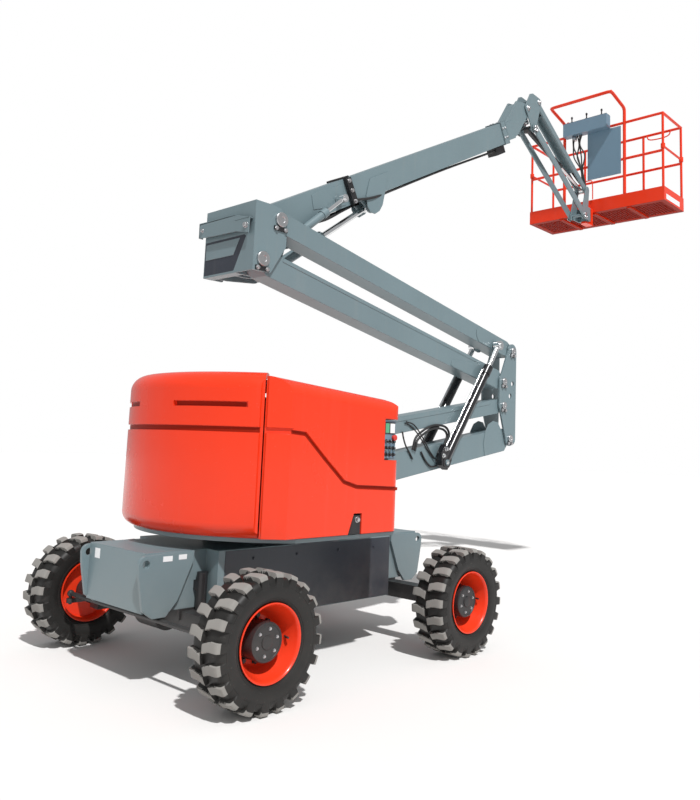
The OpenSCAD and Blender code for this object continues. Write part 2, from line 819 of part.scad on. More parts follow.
module elbow() {
    fork_near = boom_near - slip - plate_t;
    fork_far = boom_y + boom_w / 2 + slip;
    color(frame_grey) {
        slab(-elbow_half_w, near_plate + plate_t + elbow_half_w) elbow_outline();
        slab(far_plate, plate_t) elbow_outline();
        slab(fork_near, plate_t) elbow_fork_outline();
        slab(fork_far, plate_t) elbow_fork_outline();
        slab(elbow_half_w - plate_t, plate_t) elbow_outline();
        // Back and top walls of the box
        translate([elbow_back, -elbow_half_w, elbow_low])
            cube([10, 2 * elbow_half_w, elbow_top - elbow_low]);
        translate([elbow_back, -elbow_half_w, elbow_top - plate_t]) cube([70, 2 * elbow_half_w, plate_t]);
        translate([elbow_back, far_plate, elbow_low]) cube([80, elbow_half_w - far_plate, plate_t]);
    }
    color(bare_steel) {
        pin(E2, pin_r, -elbow_half_w - 14, far_plate + plate_t + elbow_half_w + 28);
        pin(E1, pin_r, -elbow_half_w - 14, fork_far + plate_t + elbow_half_w + 28);
        pin(boom_base, pin_r - 4, fork_near, fork_far + plate_t - fork_near);
        pin(master_base, pin_r - 8, fork_near - 82, 82 + plate_t);
    }
}

// Hydraulic cylinders

riser_cyl_y = [near_face - 62, far_face + 62];
riser_barrel_len = 1110;
riser_tail = 250;

module riser_barrels() {
    color(black_paint) for (y = riser_cyl_y)
        barrel(riser_base, riser_eye, y, 40, riser_barrel_len, 52, 70, pin_r - 2, 26);
}

module riser_rods() {
    color(bare_steel) for (y = riser_cyl_y)
        rod(riser_base, riser_eye, y, 26, riser_tail, 46, 64, 88);
}

module boom_barrel() {
    color(frame_grey) barrel(boom_base, boom_eye, boom_y, 44, 740, 50, 90, pin_r - 4, 25);
}

module boom_rod() {
    color(bare_steel) rod(boom_base, boom_eye, boom_y, 25, 262, 42, 70, 80);
}

master_y = boom_near - slip - plate_t - 46;

module master_barrel() {
    color(frame_grey) barrel(master_base, master_eye, master_y, 32, 560, 40, 60, pin_r - 8, 17);
}

module master_rod() {
    color(bare_steel) rod(master_base, master_eye, master_y, 17, 165, 34, 50, 80);
}

module level_barrel() {
    color(black_paint) barrel(level_base, level_eye, boom_y, 26, 232, 32, 50, 14, 13);
}

module level_rod() {
    color(bare_steel) rod(level_base, level_eye, boom_y, 13, 140, 28, 40, 44);
}

module jib_barrel() {
    color(black_paint) barrel(J2, K1, boom_y, 30, 800, 38, 66, jib_pin_r, 17);
}

module jib_rod() {
    color(bare_steel) rod(J2, K1, boom_y, 17, 230, 34, 50, 56);
}

// Main boom and jib

// Places children in the boom's own frame, X along it from its pin
module boom_frame() {
    translate([E1[0], boom_y, E1[1]]) rotate([0, -boom_rest, 0]) children();
}

module main_boom() {
    color(frame_grey) difference() {
        union() {
            boom_frame() {
                difference() {
                    translate([0, -boom_w / 2, -boom_h / 2]) cube([boom_len, boom_w, boom_h]);
                    translate([150, -boom_w / 2 + boom_wall, -boom_h / 2 + boom_wall])
                        cube([boom_len, boom_w - 2 * boom_wall, boom_h - 2 * boom_wall]);
                }
                rotate([-90, 0, 0]) translate([0, 0, -boom_w / 2]) cylinder(r = 90, h = boom_w);
                // Wear pads that guide the fly tube at the mouth
                for (side = [LEFT, RIGHT])
                    translate([boom_len - pad_len, side * (fly_w / 2 + pad_gap + (fly_gap - pad_gap) / 2)
                        - (fly_gap - pad_gap) / 2, -50])
                        cube([pad_len, fly_gap - pad_gap, 100]);
                for (side = [LEFT, RIGHT])
                    translate([boom_len - pad_len, -40, side * (fly_h / 2 + pad_gap + (fly_gap - pad_gap)
                        / 2) - (fly_gap - pad_gap) / 2])
                        cube([pad_len, 80, fly_gap - pad_gap]);
                // Collar at the mouth
                translate([boom_len - 90, -boom_w / 2 - 8, -boom_h / 2 - 8]) difference() {
                    cube([90, boom_w + 16, boom_h + 16]);
                    translate([-eps, 8, 8]) cube([100, boom_w, boom_h]);
                }
            }
            for (y = [boom_y - 64, boom_y + 46]) slab(y, 18) boom_lug_outline();
            pin(master_eye, 40, boom_near - 14, 14 + eps);
        }
        pin(E1, pin_r + run, boom_near - eps, boom_w + 2 * eps);
    }
    color(bare_steel) pin(master_eye, pin_r - 8, boom_near - 14 - eps - 2, 20);
}

// Lug plates under the boom for its lift cylinder
module boom_lug_outline() {
    translate(boom_eye) circle(58);
    polygon([on_boom(1280, -boom_h / 2 + 4), boom_eye + polar(58, boom_rest + 180), boom_eye + polar(58,
        boom_rest),
        on_boom(1560, -boom_h / 2 + 4)]);
}

module fly_boom() {
    nose_t = 20;
    nose_out = jib_plate_in - slip;
    tip = boom_len + fly_tip;
    color(frame_grey) difference() {
        union() {
            boom_frame() difference() {
                translate([fly_tail, -fly_w / 2, -fly_h / 2]) cube([tip - fly_tail, fly_w, fly_h]);
                translate([fly_tail - eps, -fly_w / 2 + boom_wall, -fly_h / 2 + boom_wall])
                    cube([tip - fly_tail - 40, fly_w - 2 * boom_wall, fly_h - 2 * boom_wall]);
            }
            for (y = [boom_y - nose_out, boom_y + nose_out - nose_t]) slab(y, nose_t) nose_outline(tip);
            slab(boom_y - 46, 92) polygon([on_boom(tip - 120, fly_h / 2 - 4), on_boom(tip - 30,
                fly_h / 2 - 4),
                on_boom(boom_len + 400, 262), on_boom(boom_len + 360, 250)]);
        }
        pin(J1, jib_pin_r + run, boom_y - 100, 200);
    }
    color(bare_steel) pin(level_base, 14, boom_y - jib_plate_in + slip, 2 * (jib_plate_in - slip));
}

// Nose plates that lift the jib's pin above the fly tube
module nose_outline(tip) {
    translate(J1) circle(60);
    polygon([on_boom(boom_len + 60, -fly_h / 2 + 6), on_boom(boom_len + 60, fly_h / 2 - 2),
        on_boom(boom_len + 430, 285), J1 + polar(60, boom_rest + 90), J1 + polar(60, boom_rest - 60),
        level_base + polar(45, boom_rest - 45), on_boom(tip, -fly_h / 2 + 6)]);
    translate(level_base) circle(45);
}

// Side plates of the level bracket, outside the fly boom's nose, with the jib pins
module jib_bracket() {
    color(frame_grey) {
        for (y = [boom_y - jib_plate_in - jib_plate_t, boom_y + jib_plate_in]) slab(y, jib_plate_t)
            union() {
            translate(J1) circle(58);
            translate(J2) circle(52);
            translate(U1) circle(52);
            polygon([J1 + [-58, 0], J2 + [-52, 0], J2 + [52, 0], U1 + [52, 0], U1 + [0, 52], J1 + [95, 215],
                J1 + [40, 190], J1 + [-45, 38]]);
        }
        slab(boom_y - jib_plate_in - eps, 2 * jib_plate_in + 2 * eps)
            polygon([J1 + [40, 110], J1 + [120, 150], J1 + [128, 138], J1 + [48, 98]]);
    }
    color(bare_steel) {
        pin(J1, jib_pin_r, boom_y - jib_plate_in - eps, 2 * jib_plate_in + 2 * eps);
        pin(U1, jib_pin_r, boom_y - jib_plate_in - eps, 2 * jib_plate_in + 2 * eps);
        pin(J2, jib_pin_r, boom_y - jib_lower_in - jib_lower_t - 8, 2 * (jib_lower_in + jib_lower_t + 8));
        pin(level_eye, 14, boom_y + 26, jib_plate_in - 26 + eps);
    }
}

// Two outer arms of the jib
module jib_lower_arms() {
    color(frame_grey) for (y = [boom_y - jib_lower_in - jib_lower_t, boom_y + jib_lower_in])
        slab(y, jib_lower_t) difference() {
            bar_outline(J2, K2, jib_lower_h / 2);
            for (p = [J2, K2]) translate(p) circle(jib_pin_r + run);
        }
}

// Upper pair of bars of the jib, tied by a cross plate
module jib_upper_arm() {
    color(frame_grey) {
        for (y = [boom_y - jib_upper_in - jib_upper_t, boom_y + jib_upper_in])
            slab(y, jib_upper_t) difference() {
                bar_outline(U1, K1, jib_upper_h / 2);
                for (p = [U1, K1]) translate(p) circle(jib_pin_r + run);
            }
        along(U1, K1, boom_y) translate([200, -jib_upper_in - eps, jib_upper_h / 2 - 14])
            cube([jib_len - 500, 2 * jib_upper_in + 2 * eps, 12]);
    }
}

// Platform

// Head that the jib holds level, with the rotator's housing
module platform_head() {
    color(frame_grey) difference() {
        union() {
            for (y = [boom_y - jib_plate_in - jib_plate_t, boom_y + jib_plate_in]) slab(y, jib_plate_t)
                union() {
                translate(K1) circle(44);
                translate(K2) circle(46);
                polygon([K1 + [-44, 0], K2 + [-46, 0], K2 + [20, rotator_z - K2[1]], [rotator_x, rotator_z],
                    [rotator_x, rotator_z + rotator_h], [rotator_x - 60, rotator_z + rotator_h], K1 +
                        [44, 0]]);
            }
            translate([rotator_x, boom_y, rotator_z]) cylinder(r = rotator_r, h = rotator_h);
            translate([rotator_x - 22, boom_y - jib_plate_in - eps, rotator_z])
                cube([44, 2 * jib_plate_in + 2 * eps, rotator_h]);
        }
        translate([rotator_x, boom_y, rotator_z - eps])
            cylinder(r = rotator_pin_r + run, h = rotator_h + 2 * eps);
    }
    color(bare_steel) {
        pin(K2, jib_pin_r, boom_y - jib_lower_in - jib_lower_t - 8, 2 * (jib_lower_in + jib_lower_t + 8));
        for (side = [LEFT, RIGHT])
            pin(K1, jib_pin_r, boom_y + side * (jib_plate_in + jib_upper_in)
                / 2 - (jib_plate_in - jib_upper_in) / 2 - eps / 2,
                jib_plate_in - jib_upper_in + eps);
    }
}

function plat(u, v, z) = [platform_x + u, platform_y + v, z];

// One ring of rail tube round the platform at height z, open at the ends if gated
module rail_ring(z, gated) {
    a = post_in;
    b = platform_d - post_in;
    half = platform_l / 2 - post_in;
    for (u = [a, b]) tube(plat(u, -half, z), plat(u, half, z), rail_r);
    if (!gated) for (v = [-half, half]) tube(plat(a, v, z), plat(b, v, z), rail_r);
}

module platform() {
    half = platform_l / 2;
    post_v = [-half + post_in, -half * 0.45, half * 0.45, half - post_in];
    color(body_orange) {
        // Floor frame and toe board
        difference() {
            translate(plat(0, -half, floor_z - floor_t)) cube([platform_d, platform_l, floor_t + toe_h]);
            translate(plat(toe_t, -half + toe_t, floor_z)) cube([platform_d - 2 * toe_t,
                platform_l - 2 * toe_t, toe_h + eps]);
            translate(plat(60, -half + 60, floor_z - floor_t - eps)) cube([platform_d - 120,
                platform_l - 120, floor_t - 7]);
        }
        for (v = [-half * 0.5, 0, half * 0.5])
            translate(plat(30, v - 25, floor_z - 40)) cube([platform_d - 60, 50, 34]);
        for (u = [post_in, platform_d - post_in]) for (v = post_v)
            tube(plat(u, v, floor_z - eps), plat(u, v, rail_top), post_r);
        rail_ring(rail_top, false);
        rail_ring(rail_mid, true);
        // Guard hoop over the console
        for (v = [post_v[1], post_v[2]]) {
            tube(plat(post_in, v, rail_top), plat(post_in, v, hoop_z - hoop_rise), post_r);
            tube(plat(post_in, v, hoop_z - hoop_rise), plat(post_in - hoop_lean, v, hoop_z), post_r);
            translate(plat(post_in, v, hoop_z - hoop_rise)) sphere(r = post_r + 1);
            translate(plat(post_in - hoop_lean, v, hoop_z)) sphere(r = post_r + 1);
        }
        tube(plat(post_in - hoop_lean, post_v[1], hoop_z), plat(post_in - hoop_lean, post_v[2], hoop_z),
            post_r);
        // Rotator bracket: two lugs round the housing and a back plate on the toe board
        translate([0, boom_y, 0]) {
            for (z = [rotator_z - slip - lug_t, rotator_z + rotator_h + slip]) {
                translate([rotator_x, 0, z]) cylinder(r = rotator_r - 8, h = lug_t);
                translate([rotator_x, -rotator_r + 8, z]) cube([platform_x - rotator_x,
                    2 * rotator_r - 16, lug_t]);
            }
            translate([platform_x - 40, -rotator_r + 8, rotator_z - slip - lug_t])
                cube([40 + toe_t, 2 * rotator_r - 16, rotator_h + 2 * slip + 2 * lug_t]);
        }
    }
    color(bare_steel) translate([rotator_x, boom_y, rotator_z - slip - lug_t])
        cylinder(r = rotator_pin_r, h = rotator_h + 2 * slip + 2 * lug_t);
}

// Operator's console in a tray outside the inner rail, with a tool panel below
module console() {
    back = post_in - rail_r - 1;
    color(frame_grey) {
        translate(plat(back - 112, -240, rail_top - 40)) cube([112, 620, 175]);
        translate(plat(back - 9, -387, floor_z + 424)) cube([9, 461, rail_top - 40 - floor_z - 424 + eps]);
    }
}

// Sliding mid rail across one end of the platform, on collars round the end posts
module gate(side) {
    v = side * (platform_l / 2 - post_in);
    z = gate_z;
    a = post_in;
    b = platform_d - post_in;
    color(body_orange) {
        tube(plat(a + rail_r + 4, v, z), plat(b - rail_r - 4, v, z), rail_r - 3);
        for (u = [a, b]) translate(plat(u, v, z - 30)) difference() {
            cylinder(r = collar_r, h = 60);
            translate([0, 0, -eps]) cylinder(r = post_r + 0.4, h = 62);
        }
    }
}

module gate_left() { gate(LEFT); }
module gate_right() { gate(RIGHT); }

// Moves a node from the slew axis to the origin at the middle of the whole machine
module placed() { translate([-origin_x, 0, 0]) children(); }

placed() chassis();
placed() steer_axle();
placed() drive_axle();
placed() axle_struts();
placed() slew_ring();
placed() knuckle_left();
placed() knuckle_right();
placed() tie_rod();
placed() tyre_steer_left();
placed() rim_steer_left();
placed() tyre_steer_right();
placed() rim_steer_right();
placed() tyre_drive_left();
placed() rim_drive_left();
placed() tyre_drive_right();
placed() rim_drive_right();
placed() turntable();
placed() counterweight();
placed() tail_cover();
placed() engine();
placed() tank();
placed() hood_left();
placed() hood_right();
placed() ground_controls();
placed() lower_riser();
placed() lower_link();
placed() mid_link();
placed() upper_riser();
placed() upper_link();
placed() elbow();
placed() riser_barrels();
placed() riser_rods();
placed() boom_barrel();
placed() boom_rod();
placed() master_barrel();
placed() master_rod();
placed() main_boom();
placed() fly_boom();
placed() level_barrel();
placed() level_rod();
placed() jib_bracket();
placed() jib_lower_arms();
placed() jib_upper_arm();
placed() jib_barrel();
placed() jib_rod();
placed() platform_head();
placed() platform();
placed() console();
placed() gate_left();
placed() gate_right();
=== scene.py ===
"""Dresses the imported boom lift: finishes for each CAD node, and tyres, hubs, hoses, fasteners and trim.

Metres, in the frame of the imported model: +X towards the platform, +Y left, +Z up, ground at Z = 0.
"""

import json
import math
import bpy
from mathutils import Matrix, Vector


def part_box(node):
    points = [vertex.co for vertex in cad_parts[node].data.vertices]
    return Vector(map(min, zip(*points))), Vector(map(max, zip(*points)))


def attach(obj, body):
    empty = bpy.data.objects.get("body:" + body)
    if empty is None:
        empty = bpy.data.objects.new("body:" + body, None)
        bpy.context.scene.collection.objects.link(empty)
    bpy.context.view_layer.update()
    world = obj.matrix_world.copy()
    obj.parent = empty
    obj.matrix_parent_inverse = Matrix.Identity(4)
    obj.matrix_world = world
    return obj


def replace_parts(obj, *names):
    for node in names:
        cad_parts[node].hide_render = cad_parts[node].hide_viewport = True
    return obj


bl_info = {
    "name": "Boom lift dressing",
    "version": (1, 0, 0),
    "blender": (4, 5, 0),
    "location": "View3D > Sidebar > Boom lift",
    "description": "Finishes and fine pieces for an articulating boom lift",
    "category": "Object",
}

import bpy
import numpy as np
from mathutils import Matrix, Vector

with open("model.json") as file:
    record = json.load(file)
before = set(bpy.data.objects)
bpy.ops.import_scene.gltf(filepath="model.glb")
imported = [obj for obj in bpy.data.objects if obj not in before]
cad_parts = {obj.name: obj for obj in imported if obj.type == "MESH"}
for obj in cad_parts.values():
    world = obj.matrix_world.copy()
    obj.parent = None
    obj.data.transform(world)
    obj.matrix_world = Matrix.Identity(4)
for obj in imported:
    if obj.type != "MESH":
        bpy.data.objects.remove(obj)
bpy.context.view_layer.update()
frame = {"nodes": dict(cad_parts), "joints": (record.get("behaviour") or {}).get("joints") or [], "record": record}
NODES = frame["nodes"]
JOINTS = {joint["name"]: joint for joint in frame["joints"]}


def joint_point(name):
    """Where a joint's axis passes, as the record gives it."""
    return np.array(JOINTS[name]["pos_m"], float)


def box_of(node):
    """A node's lowest and highest corners as arrays."""
    low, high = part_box(node)
    return np.array(low), np.array(high)


# The slew axis stands this far behind the origin
SLEW_X = joint_point("slew")[0]


class LiftFinish(bpy.types.PropertyGroup):
    """Colours of the lift's finishes."""

    orange: bpy.props.FloatVectorProperty(
        name="Body orange", description="Paint of hoods, rims and platform", subtype="COLOR", size=3,
        default=(0.80, 0.040, 0.009), min=0, max=1)
    grey: bpy.props.FloatVectorProperty(
        name="Frame grey", description="Paint of booms and chassis", subtype="COLOR", size=3,
        default=(0.158, 0.219, 0.240), min=0, max=1)
    navy: bpy.props.FloatVectorProperty(
        name="Dark navy", description="Paint of the slew ring and engine", subtype="COLOR", size=3,
        default=(0.022, 0.028, 0.042), min=0, max=1)
    black: bpy.props.FloatVectorProperty(
        name="Gloss black", description="Paint of hydraulic cylinders and axles", subtype="COLOR", size=3,
        default=(0.012, 0.012, 0.014), min=0, max=1)
    rubber: bpy.props.FloatVectorProperty(
        name="Rubber", description="Tyre rubber", subtype="COLOR", size=3,
        default=(0.012, 0.0115, 0.011), min=0, max=1)
    dust: bpy.props.FloatVectorProperty(
        name="Dust", description="Dry soil on tyres and low paint", subtype="COLOR", size=3,
        default=(0.33, 0.30, 0.26), min=0, max=1)


class LiftStage(bpy.types.PropertyGroup):
    """Camera and light, as the photograph has them."""

    camera_place: bpy.props.FloatVectorProperty(
        name="Camera place", description="Camera position from the slew axis", subtype="TRANSLATION",
        unit="LENGTH", size=3, default=(-3.9114, -4.5569, 1.4819))
    camera_turn: bpy.props.FloatVectorProperty(
        name="Camera turn", description="Yaw from +X, pitch up and roll", subtype="EULER", unit="ROTATION",
        size=3, default=(math.radians(42.109), math.radians(7.218), math.radians(-2.096)))
    focal_px: bpy.props.FloatProperty(
        name="Focal length", description="Focal length in pixels of the 700 by 800 frame",
        default=780.483, min=100)
    centre_px: bpy.props.FloatVectorProperty(
        name="Optical centre", description="Pixel that the lens looks straight at", size=2,
        default=(382.25, 349.41))
    sun_way: bpy.props.FloatVectorProperty(
        name="Sun way", description="Direction the key light travels", subtype="DIRECTION", size=3,
        default=(0.30, 0.66, -1.0))
    sun_strength: bpy.props.FloatProperty(
        name="Sun", description="Strength of the key light", default=3.45, min=0)
    sun_spread: bpy.props.FloatProperty(
        name="Sun spread", description="Angle the key light fills, which softens its shadows",
        subtype="ANGLE", unit="ROTATION", default=math.radians(1.8), min=0)
    sky_strength: bpy.props.FloatProperty(
        name="Sky", description="Strength of the even sky light on the object", default=0.45, min=0)


class LiftWheel(bpy.types.PropertyGroup):
    """Counts of the repeated forms on a wheel."""

    lugs: bpy.props.IntProperty(name="Lugs", description="Tread lugs on each side of a tyre", default=20,
                                min=8, max=40)
    nuts: bpy.props.IntProperty(name="Nuts", description="Wheel nuts round a hub", default=9, min=4, max=16)


class LiftTrim(bpy.types.PropertyGroup):
    """Sizes of fasteners and hoses."""

    pin_head: bpy.props.FloatProperty(
        name="Pin head", description="Radius of a riser pin's head", unit="LENGTH", default=0.036, min=0.01)
    hose_radius: bpy.props.FloatProperty(
        name="Hose", description="Radius of a hydraulic hose", unit="LENGTH", default=0.0115, min=0.003)


# Materials

def new_group(name, inputs, outputs):
    """An empty shader node group with named sockets, and its input and output nodes."""
    tree = bpy.data.node_groups.new(name, "ShaderNodeTree")
    for label, kind, default in inputs:
        socket = tree.interface.new_socket(label, in_out="INPUT", socket_type=kind)
        socket.default_value = default
    for label, kind in outputs:
        tree.interface.new_socket(label, in_out="OUTPUT", socket_type=kind)
    return tree, tree.nodes.new("NodeGroupInput"), tree.nodes.new("NodeGroupOutput")


def link(tree, source, target):
    tree.links.new(source, target)


def feed(tree, value, socket):
    """Sets a socket to a number, or links it to another node's output."""
    if isinstance(value, (int, float)):
        socket.default_value = value
    else:
        link(tree, value, socket)


def noise(tree, vector, scale, detail=4.0, roughness=0.55):
    """A 3D noise texture at a scale in features per metre."""
    node = tree.nodes.new("ShaderNodeTexNoise")
    node.inputs["Detail"].default_value = detail
    node.inputs["Roughness"].default_value = roughness
    node.inputs["Scale"].default_value = scale
    link(tree, vector, node.inputs["Vector"])
    return node.outputs["Fac"]


def remap(tree, value, low, high, to_low=0.0, to_high=1.0):
    """Maps a value from one range to another, smoothly and clamped."""
    node = tree.nodes.new("ShaderNodeMapRange")
    node.interpolation_type = "SMOOTHSTEP"
    for label, number in (("From Min", low), ("From Max", high), ("To Min", to_low), ("To Max", to_high)):
        feed(tree, number, node.inputs[label])
    link(tree, value, node.inputs["Value"])
    return node.outputs["Result"]


def arithmetic(tree, kind, a, b):
    node = tree.nodes.new("ShaderNodeMath")
    node.operation = kind
    for socket, value in zip(node.inputs, (a, b)):
        feed(tree, value, socket)
    return node.outputs[0]


def mix_colour(tree, factor, a, b, kind="MIX"):
    node = tree.nodes.new("ShaderNodeMix")
    node.data_type = "RGBA"
    node.blend_type = kind
    feed(tree, factor, node.inputs["Factor"])
    for label, value in (("A", a), ("B", b)):
        socket = [s for s in node.inputs if s.name == label and s.type == "RGBA"][0]
        if hasattr(value, "node"):
            link(tree, value, socket)
        else:
            socket.default_value = (*value, 1.0)
    return [s for s in node.outputs if s.type == "RGBA"][0]


def weather_group():
    """Uneven paint: cloudy tone, fine specks, streaks that run down, and dust that thickens near the ground.

    Tone = 1 + Variation * (cloud - 0.5); dust mask = Dust * low-height ramp * noise + Dust * streaks / 3.
    """
    tree, give, take = new_group(
        "Weathered paint",
        [("Color", "NodeSocketColor", (0.5, 0.5, 0.5, 1)),
         ("Dust Color", "NodeSocketColor", (0.3, 0.28, 0.24, 1)),
         ("Variation", "NodeSocketFloat", 0.2), ("Dust", "NodeSocketFloat", 0.3),
         ("Roughness", "NodeSocketFloat", 0.35), ("Dust Height", "NodeSocketFloat", 0.9)],
        [("Color", "NodeSocketColor"), ("Roughness", "NodeSocketFloat"), ("Height", "NodeSocketFloat")])
    where = tree.nodes.new("ShaderNodeTexCoord").outputs["Object"]
    cloud = noise(tree, where, 1.7, 5.0, 0.6)
    specks = noise(tree, where, 95.0, 2.0, 0.5)
    peel = noise(tree, where, 420.0, 1.0, 0.4)
    stretch = tree.nodes.new("ShaderNodeMapping")
    stretch.inputs["Scale"].default_value = (14.0, 14.0, 0.8)
    link(tree, where, stretch.inputs["Vector"])
    streak = noise(tree, stretch.outputs["Vector"], 1.0, 3.0, 0.6)
    split = tree.nodes.new("ShaderNodeSeparateXYZ")
    link(tree, where, split.inputs["Vector"])
    low = remap(tree, split.outputs["Z"], give.outputs["Dust Height"], 0.15)
    patch = remap(tree, cloud, 0.38, 0.66)
    runs = remap(tree, streak, 0.52, 0.78)
    fallen = arithmetic(tree, "MULTIPLY", low,
                        arithmetic(tree, "ADD", arithmetic(tree, "MULTIPLY", patch, 0.7), 0.3))
    run_share = arithmetic(tree, "MULTIPLY", runs, 0.28)
    mask = arithmetic(tree, "MULTIPLY", arithmetic(tree, "MAXIMUM", fallen, run_share),
                      give.outputs["Dust"])
    centred = arithmetic(tree, "SUBTRACT", cloud, 0.5)
    tone = arithmetic(tree, "ADD", arithmetic(tree, "MULTIPLY", centred, give.outputs["Variation"]), 1.0)
    shade = tree.nodes.new("ShaderNodeCombineColor")
    for socket in shade.inputs[:3]:
        link(tree, tone, socket)
    tinted = mix_colour(tree, 1.0, give.outputs["Color"], shade.outputs[0], "MULTIPLY")
    speck_mask = arithmetic(tree, "MULTIPLY", remap(tree, specks, 0.70, 0.80), 0.25)
    speckled = mix_colour(tree, speck_mask, tinted, give.outputs["Dust Color"])
    link(tree, mix_colour(tree, mask, speckled, give.outputs["Dust Color"]), take.inputs["Color"])
    rough = arithmetic(tree, "ADD", give.outputs["Roughness"], arithmetic(tree, "MULTIPLY", mask, 0.45))
    link(tree, arithmetic(tree, "ADD", rough, arithmetic(tree, "MULTIPLY", centred, 0.18)),
         take.inputs["Roughness"])
    link(tree, arithmetic(tree, "ADD", peel, arithmetic(tree, "MULTIPLY", specks, 0.6)),
         take.inputs["Height"])
    return tree


def brushed_group():
    """Metal with fine grain: roughness and bump follow a fine noise, and clouds of tarnish darken the tone and
    roughen it.
    """
    tree, give, take = new_group(
        "Machined metal",
        [("Color", "NodeSocketColor", (0.7, 0.7, 0.72, 1)), ("Roughness", "NodeSocketFloat", 0.2),
         ("Tarnish", "NodeSocketFloat", 0.3)],
        [("Color", "NodeSocketColor"), ("Roughness", "NodeSocketFloat"), ("Height", "NodeSocketFloat")])
    where = tree.nodes.new("ShaderNodeTexCoord").outputs["Object"]
    lines = noise(tree, where, 260.0, 2.0, 0.5)
    cloud = noise(tree, where, 9.0, 4.0, 0.6)
    stain = arithmetic(tree, "MULTIPLY", remap(tree, cloud, 0.45, 0.75), give.outputs["Tarnish"])
    link(tree, mix_colour(tree, stain, give.outputs["Color"], (0.16, 0.12, 0.09)), take.inputs["Color"])
    rough = arithmetic(tree, "ADD", give.outputs["Roughness"], arithmetic(tree, "MULTIPLY", lines, 0.10))
    link(tree, arithmetic(tree, "ADD", rough, arithmetic(tree, "MULTIPLY", stain, 0.3)),
         take.inputs["Roughness"])
    link(tree, lines, take.inputs["Height"])
    return tree


def finish_material(name, group, values, bump=0.0, bump_distance=0.0004, edge=0.0, **shader):
    """A Principled material with colour, roughness and bump from a shared group, and soft edges."""
    material = bpy.data.materials.new(name)
    material.use_nodes = True
    tree = material.node_tree
    principled = tree.nodes["Principled BSDF"]
    effect = tree.nodes.new("ShaderNodeGroup")
    effect.node_tree = group
    for label, value in values.items():
        effect.inputs[label].default_value = (*value, 1.0) if hasattr(value, "__len__") else value
    link(tree, effect.outputs["Color"], principled.inputs["Base Color"])
    link(tree, effect.outputs["Roughness"], principled.inputs["Roughness"])
    if bump:
        relief = tree.nodes.new("ShaderNodeBump")
        relief.inputs["Strength"].default_value = bump
        relief.inputs["Distance"].default_value = bump_distance
        link(tree, effect.outputs["Height"], relief.inputs["Height"])
        if edge:
            corner = tree.nodes.new("ShaderNodeBevel")
            corner.samples = 4
            corner.inputs["Radius"].default_value = edge
            link(tree, corner.outputs["Normal"], relief.inputs["Normal"])
        link(tree, relief.outputs["Normal"], principled.inputs["Normal"])
    for label, value in shader.items():
        principled.inputs[label.replace("_", " ").title().replace("Ior", "IOR")].default_value = value
    return material


FINISH = {}


def make_finishes(colours):
    """Builds every finish once, from the shared groups and the user's colours."""
    paint = weather_group()
    metal = brushed_group()
    dust = tuple(colours.dust)

    def painted(name, colour, variation, soil, rough, height, coat, edge=0.0, shine=0.5):
        FINISH[name] = finish_material(
            name, paint, {"Color": tuple(colour), "Dust Color": dust, "Variation": variation, "Dust": soil,
                          "Roughness": rough, "Dust Height": height},
            bump=0.12, edge=edge, coat_weight=coat, coat_roughness=0.12, specular_ior_level=shine)

    painted("body_orange", colours.orange, 0.14, 0.07, 0.25, 0.75, 0.22, 0.005, 0.28)
    painted("rim_orange", colours.orange, 0.12, 0.04, 0.30, 0.75, 0.16, 0.0, 0.28)
    # Painted shade: the body orange darkened to a third, for the floors of grooves and the bars under the
    # platform, where shade falls
    painted("orange_painted_shade", tuple(0.34 * c for c in colours.orange), 0.2, 0.03, 0.45, 0.75, 0.0, 0.0, 0.08)
    painted("frame_grey", colours.grey, 0.20, 0.30, 0.38, 0.95, 0.15, 0.006)
    painted("console_grey", (0.150, 0.245, 0.325), 0.2, 0.12, 0.40, 0.6, 0.1)
    painted("dark_navy", colours.navy, 0.35, 0.30, 0.42, 0.95, 0.1)
    painted("axle_black", colours.black, 0.4, 0.12, 0.42, 0.75, 0.0)
    painted("cylinder_black", colours.black, 0.3, 0.12, 0.25, 0.5, 0.3)
    painted("counterweight_iron", (0.03, 0.03, 0.033), 0.4, 0.3, 0.55, 0.9, 0.0)
    painted("tyre_rubber", colours.rubber, 0.5, 0.05, 0.50, 0.95, 0.0, 0.0, 0.35)
    painted("tyre_dust", (0.25, 0.24, 0.225), 0.55, 0.15, 0.85, 0.95, 0.0)
    painted("hose_rubber", (0.016, 0.016, 0.017), 0.3, 0.15, 0.5, 0.6, 0.0)
    painted("card_white", (0.80, 0.81, 0.82), 0.06, 0.1, 0.45, 0.5, 0.1)
    painted("card_green", (0.10, 0.36, 0.20), 0.08, 0.1, 0.45, 0.5, 0.1)
    painted("knob_red", (0.60, 0.03, 0.02), 0.1, 0.05, 0.3, 0.4, 0.3)
    for name, colour, rough, tarnish in (("bare_steel", (0.56, 0.56, 0.57), 0.28, 0.25),
                                         ("rod_chrome", (0.78, 0.79, 0.80), 0.08, 0.06)):
        values = {"Color": colour, "Roughness": rough, "Tarnish": tarnish}
        FINISH[name] = finish_material(name, metal, values, metallic=1.0)


# Mesh tools

def at(x, y, z):
    """A place given in millimetres from the slew axis, in the frame's metres."""
    return np.array([SLEW_X + x / 1000, y / 1000, z / 1000])


def smoothstep(low, high, x):
    t = np.clip((x - low) / (high - low), 0, 1)
    return t * t * (3 - 2 * t)


def smooth_path(points, samples=40):
    """A Catmull-Rom curve through points, sampled evenly in its parameter."""
    points = np.asarray(points, float)
    padded = np.concatenate([2 * points[:1] - points[1:2], points, 2 * points[-1:] - points[-2:-1]])
    spot = np.linspace(0, len(points) - 1 - 1e-9, samples)
    i = spot.astype(int)
    t = (spot - i)[:, None]
    a, b, c, d = padded[i], padded[i + 1], padded[i + 2], padded[i + 3]
    square = 2 * a - 5 * b + 4 * c - d
    cube = 3 * b - a - 3 * c + d
    return 0.5 * (2 * b + (c - a) * t + square * t ** 2 + cube * t ** 3)


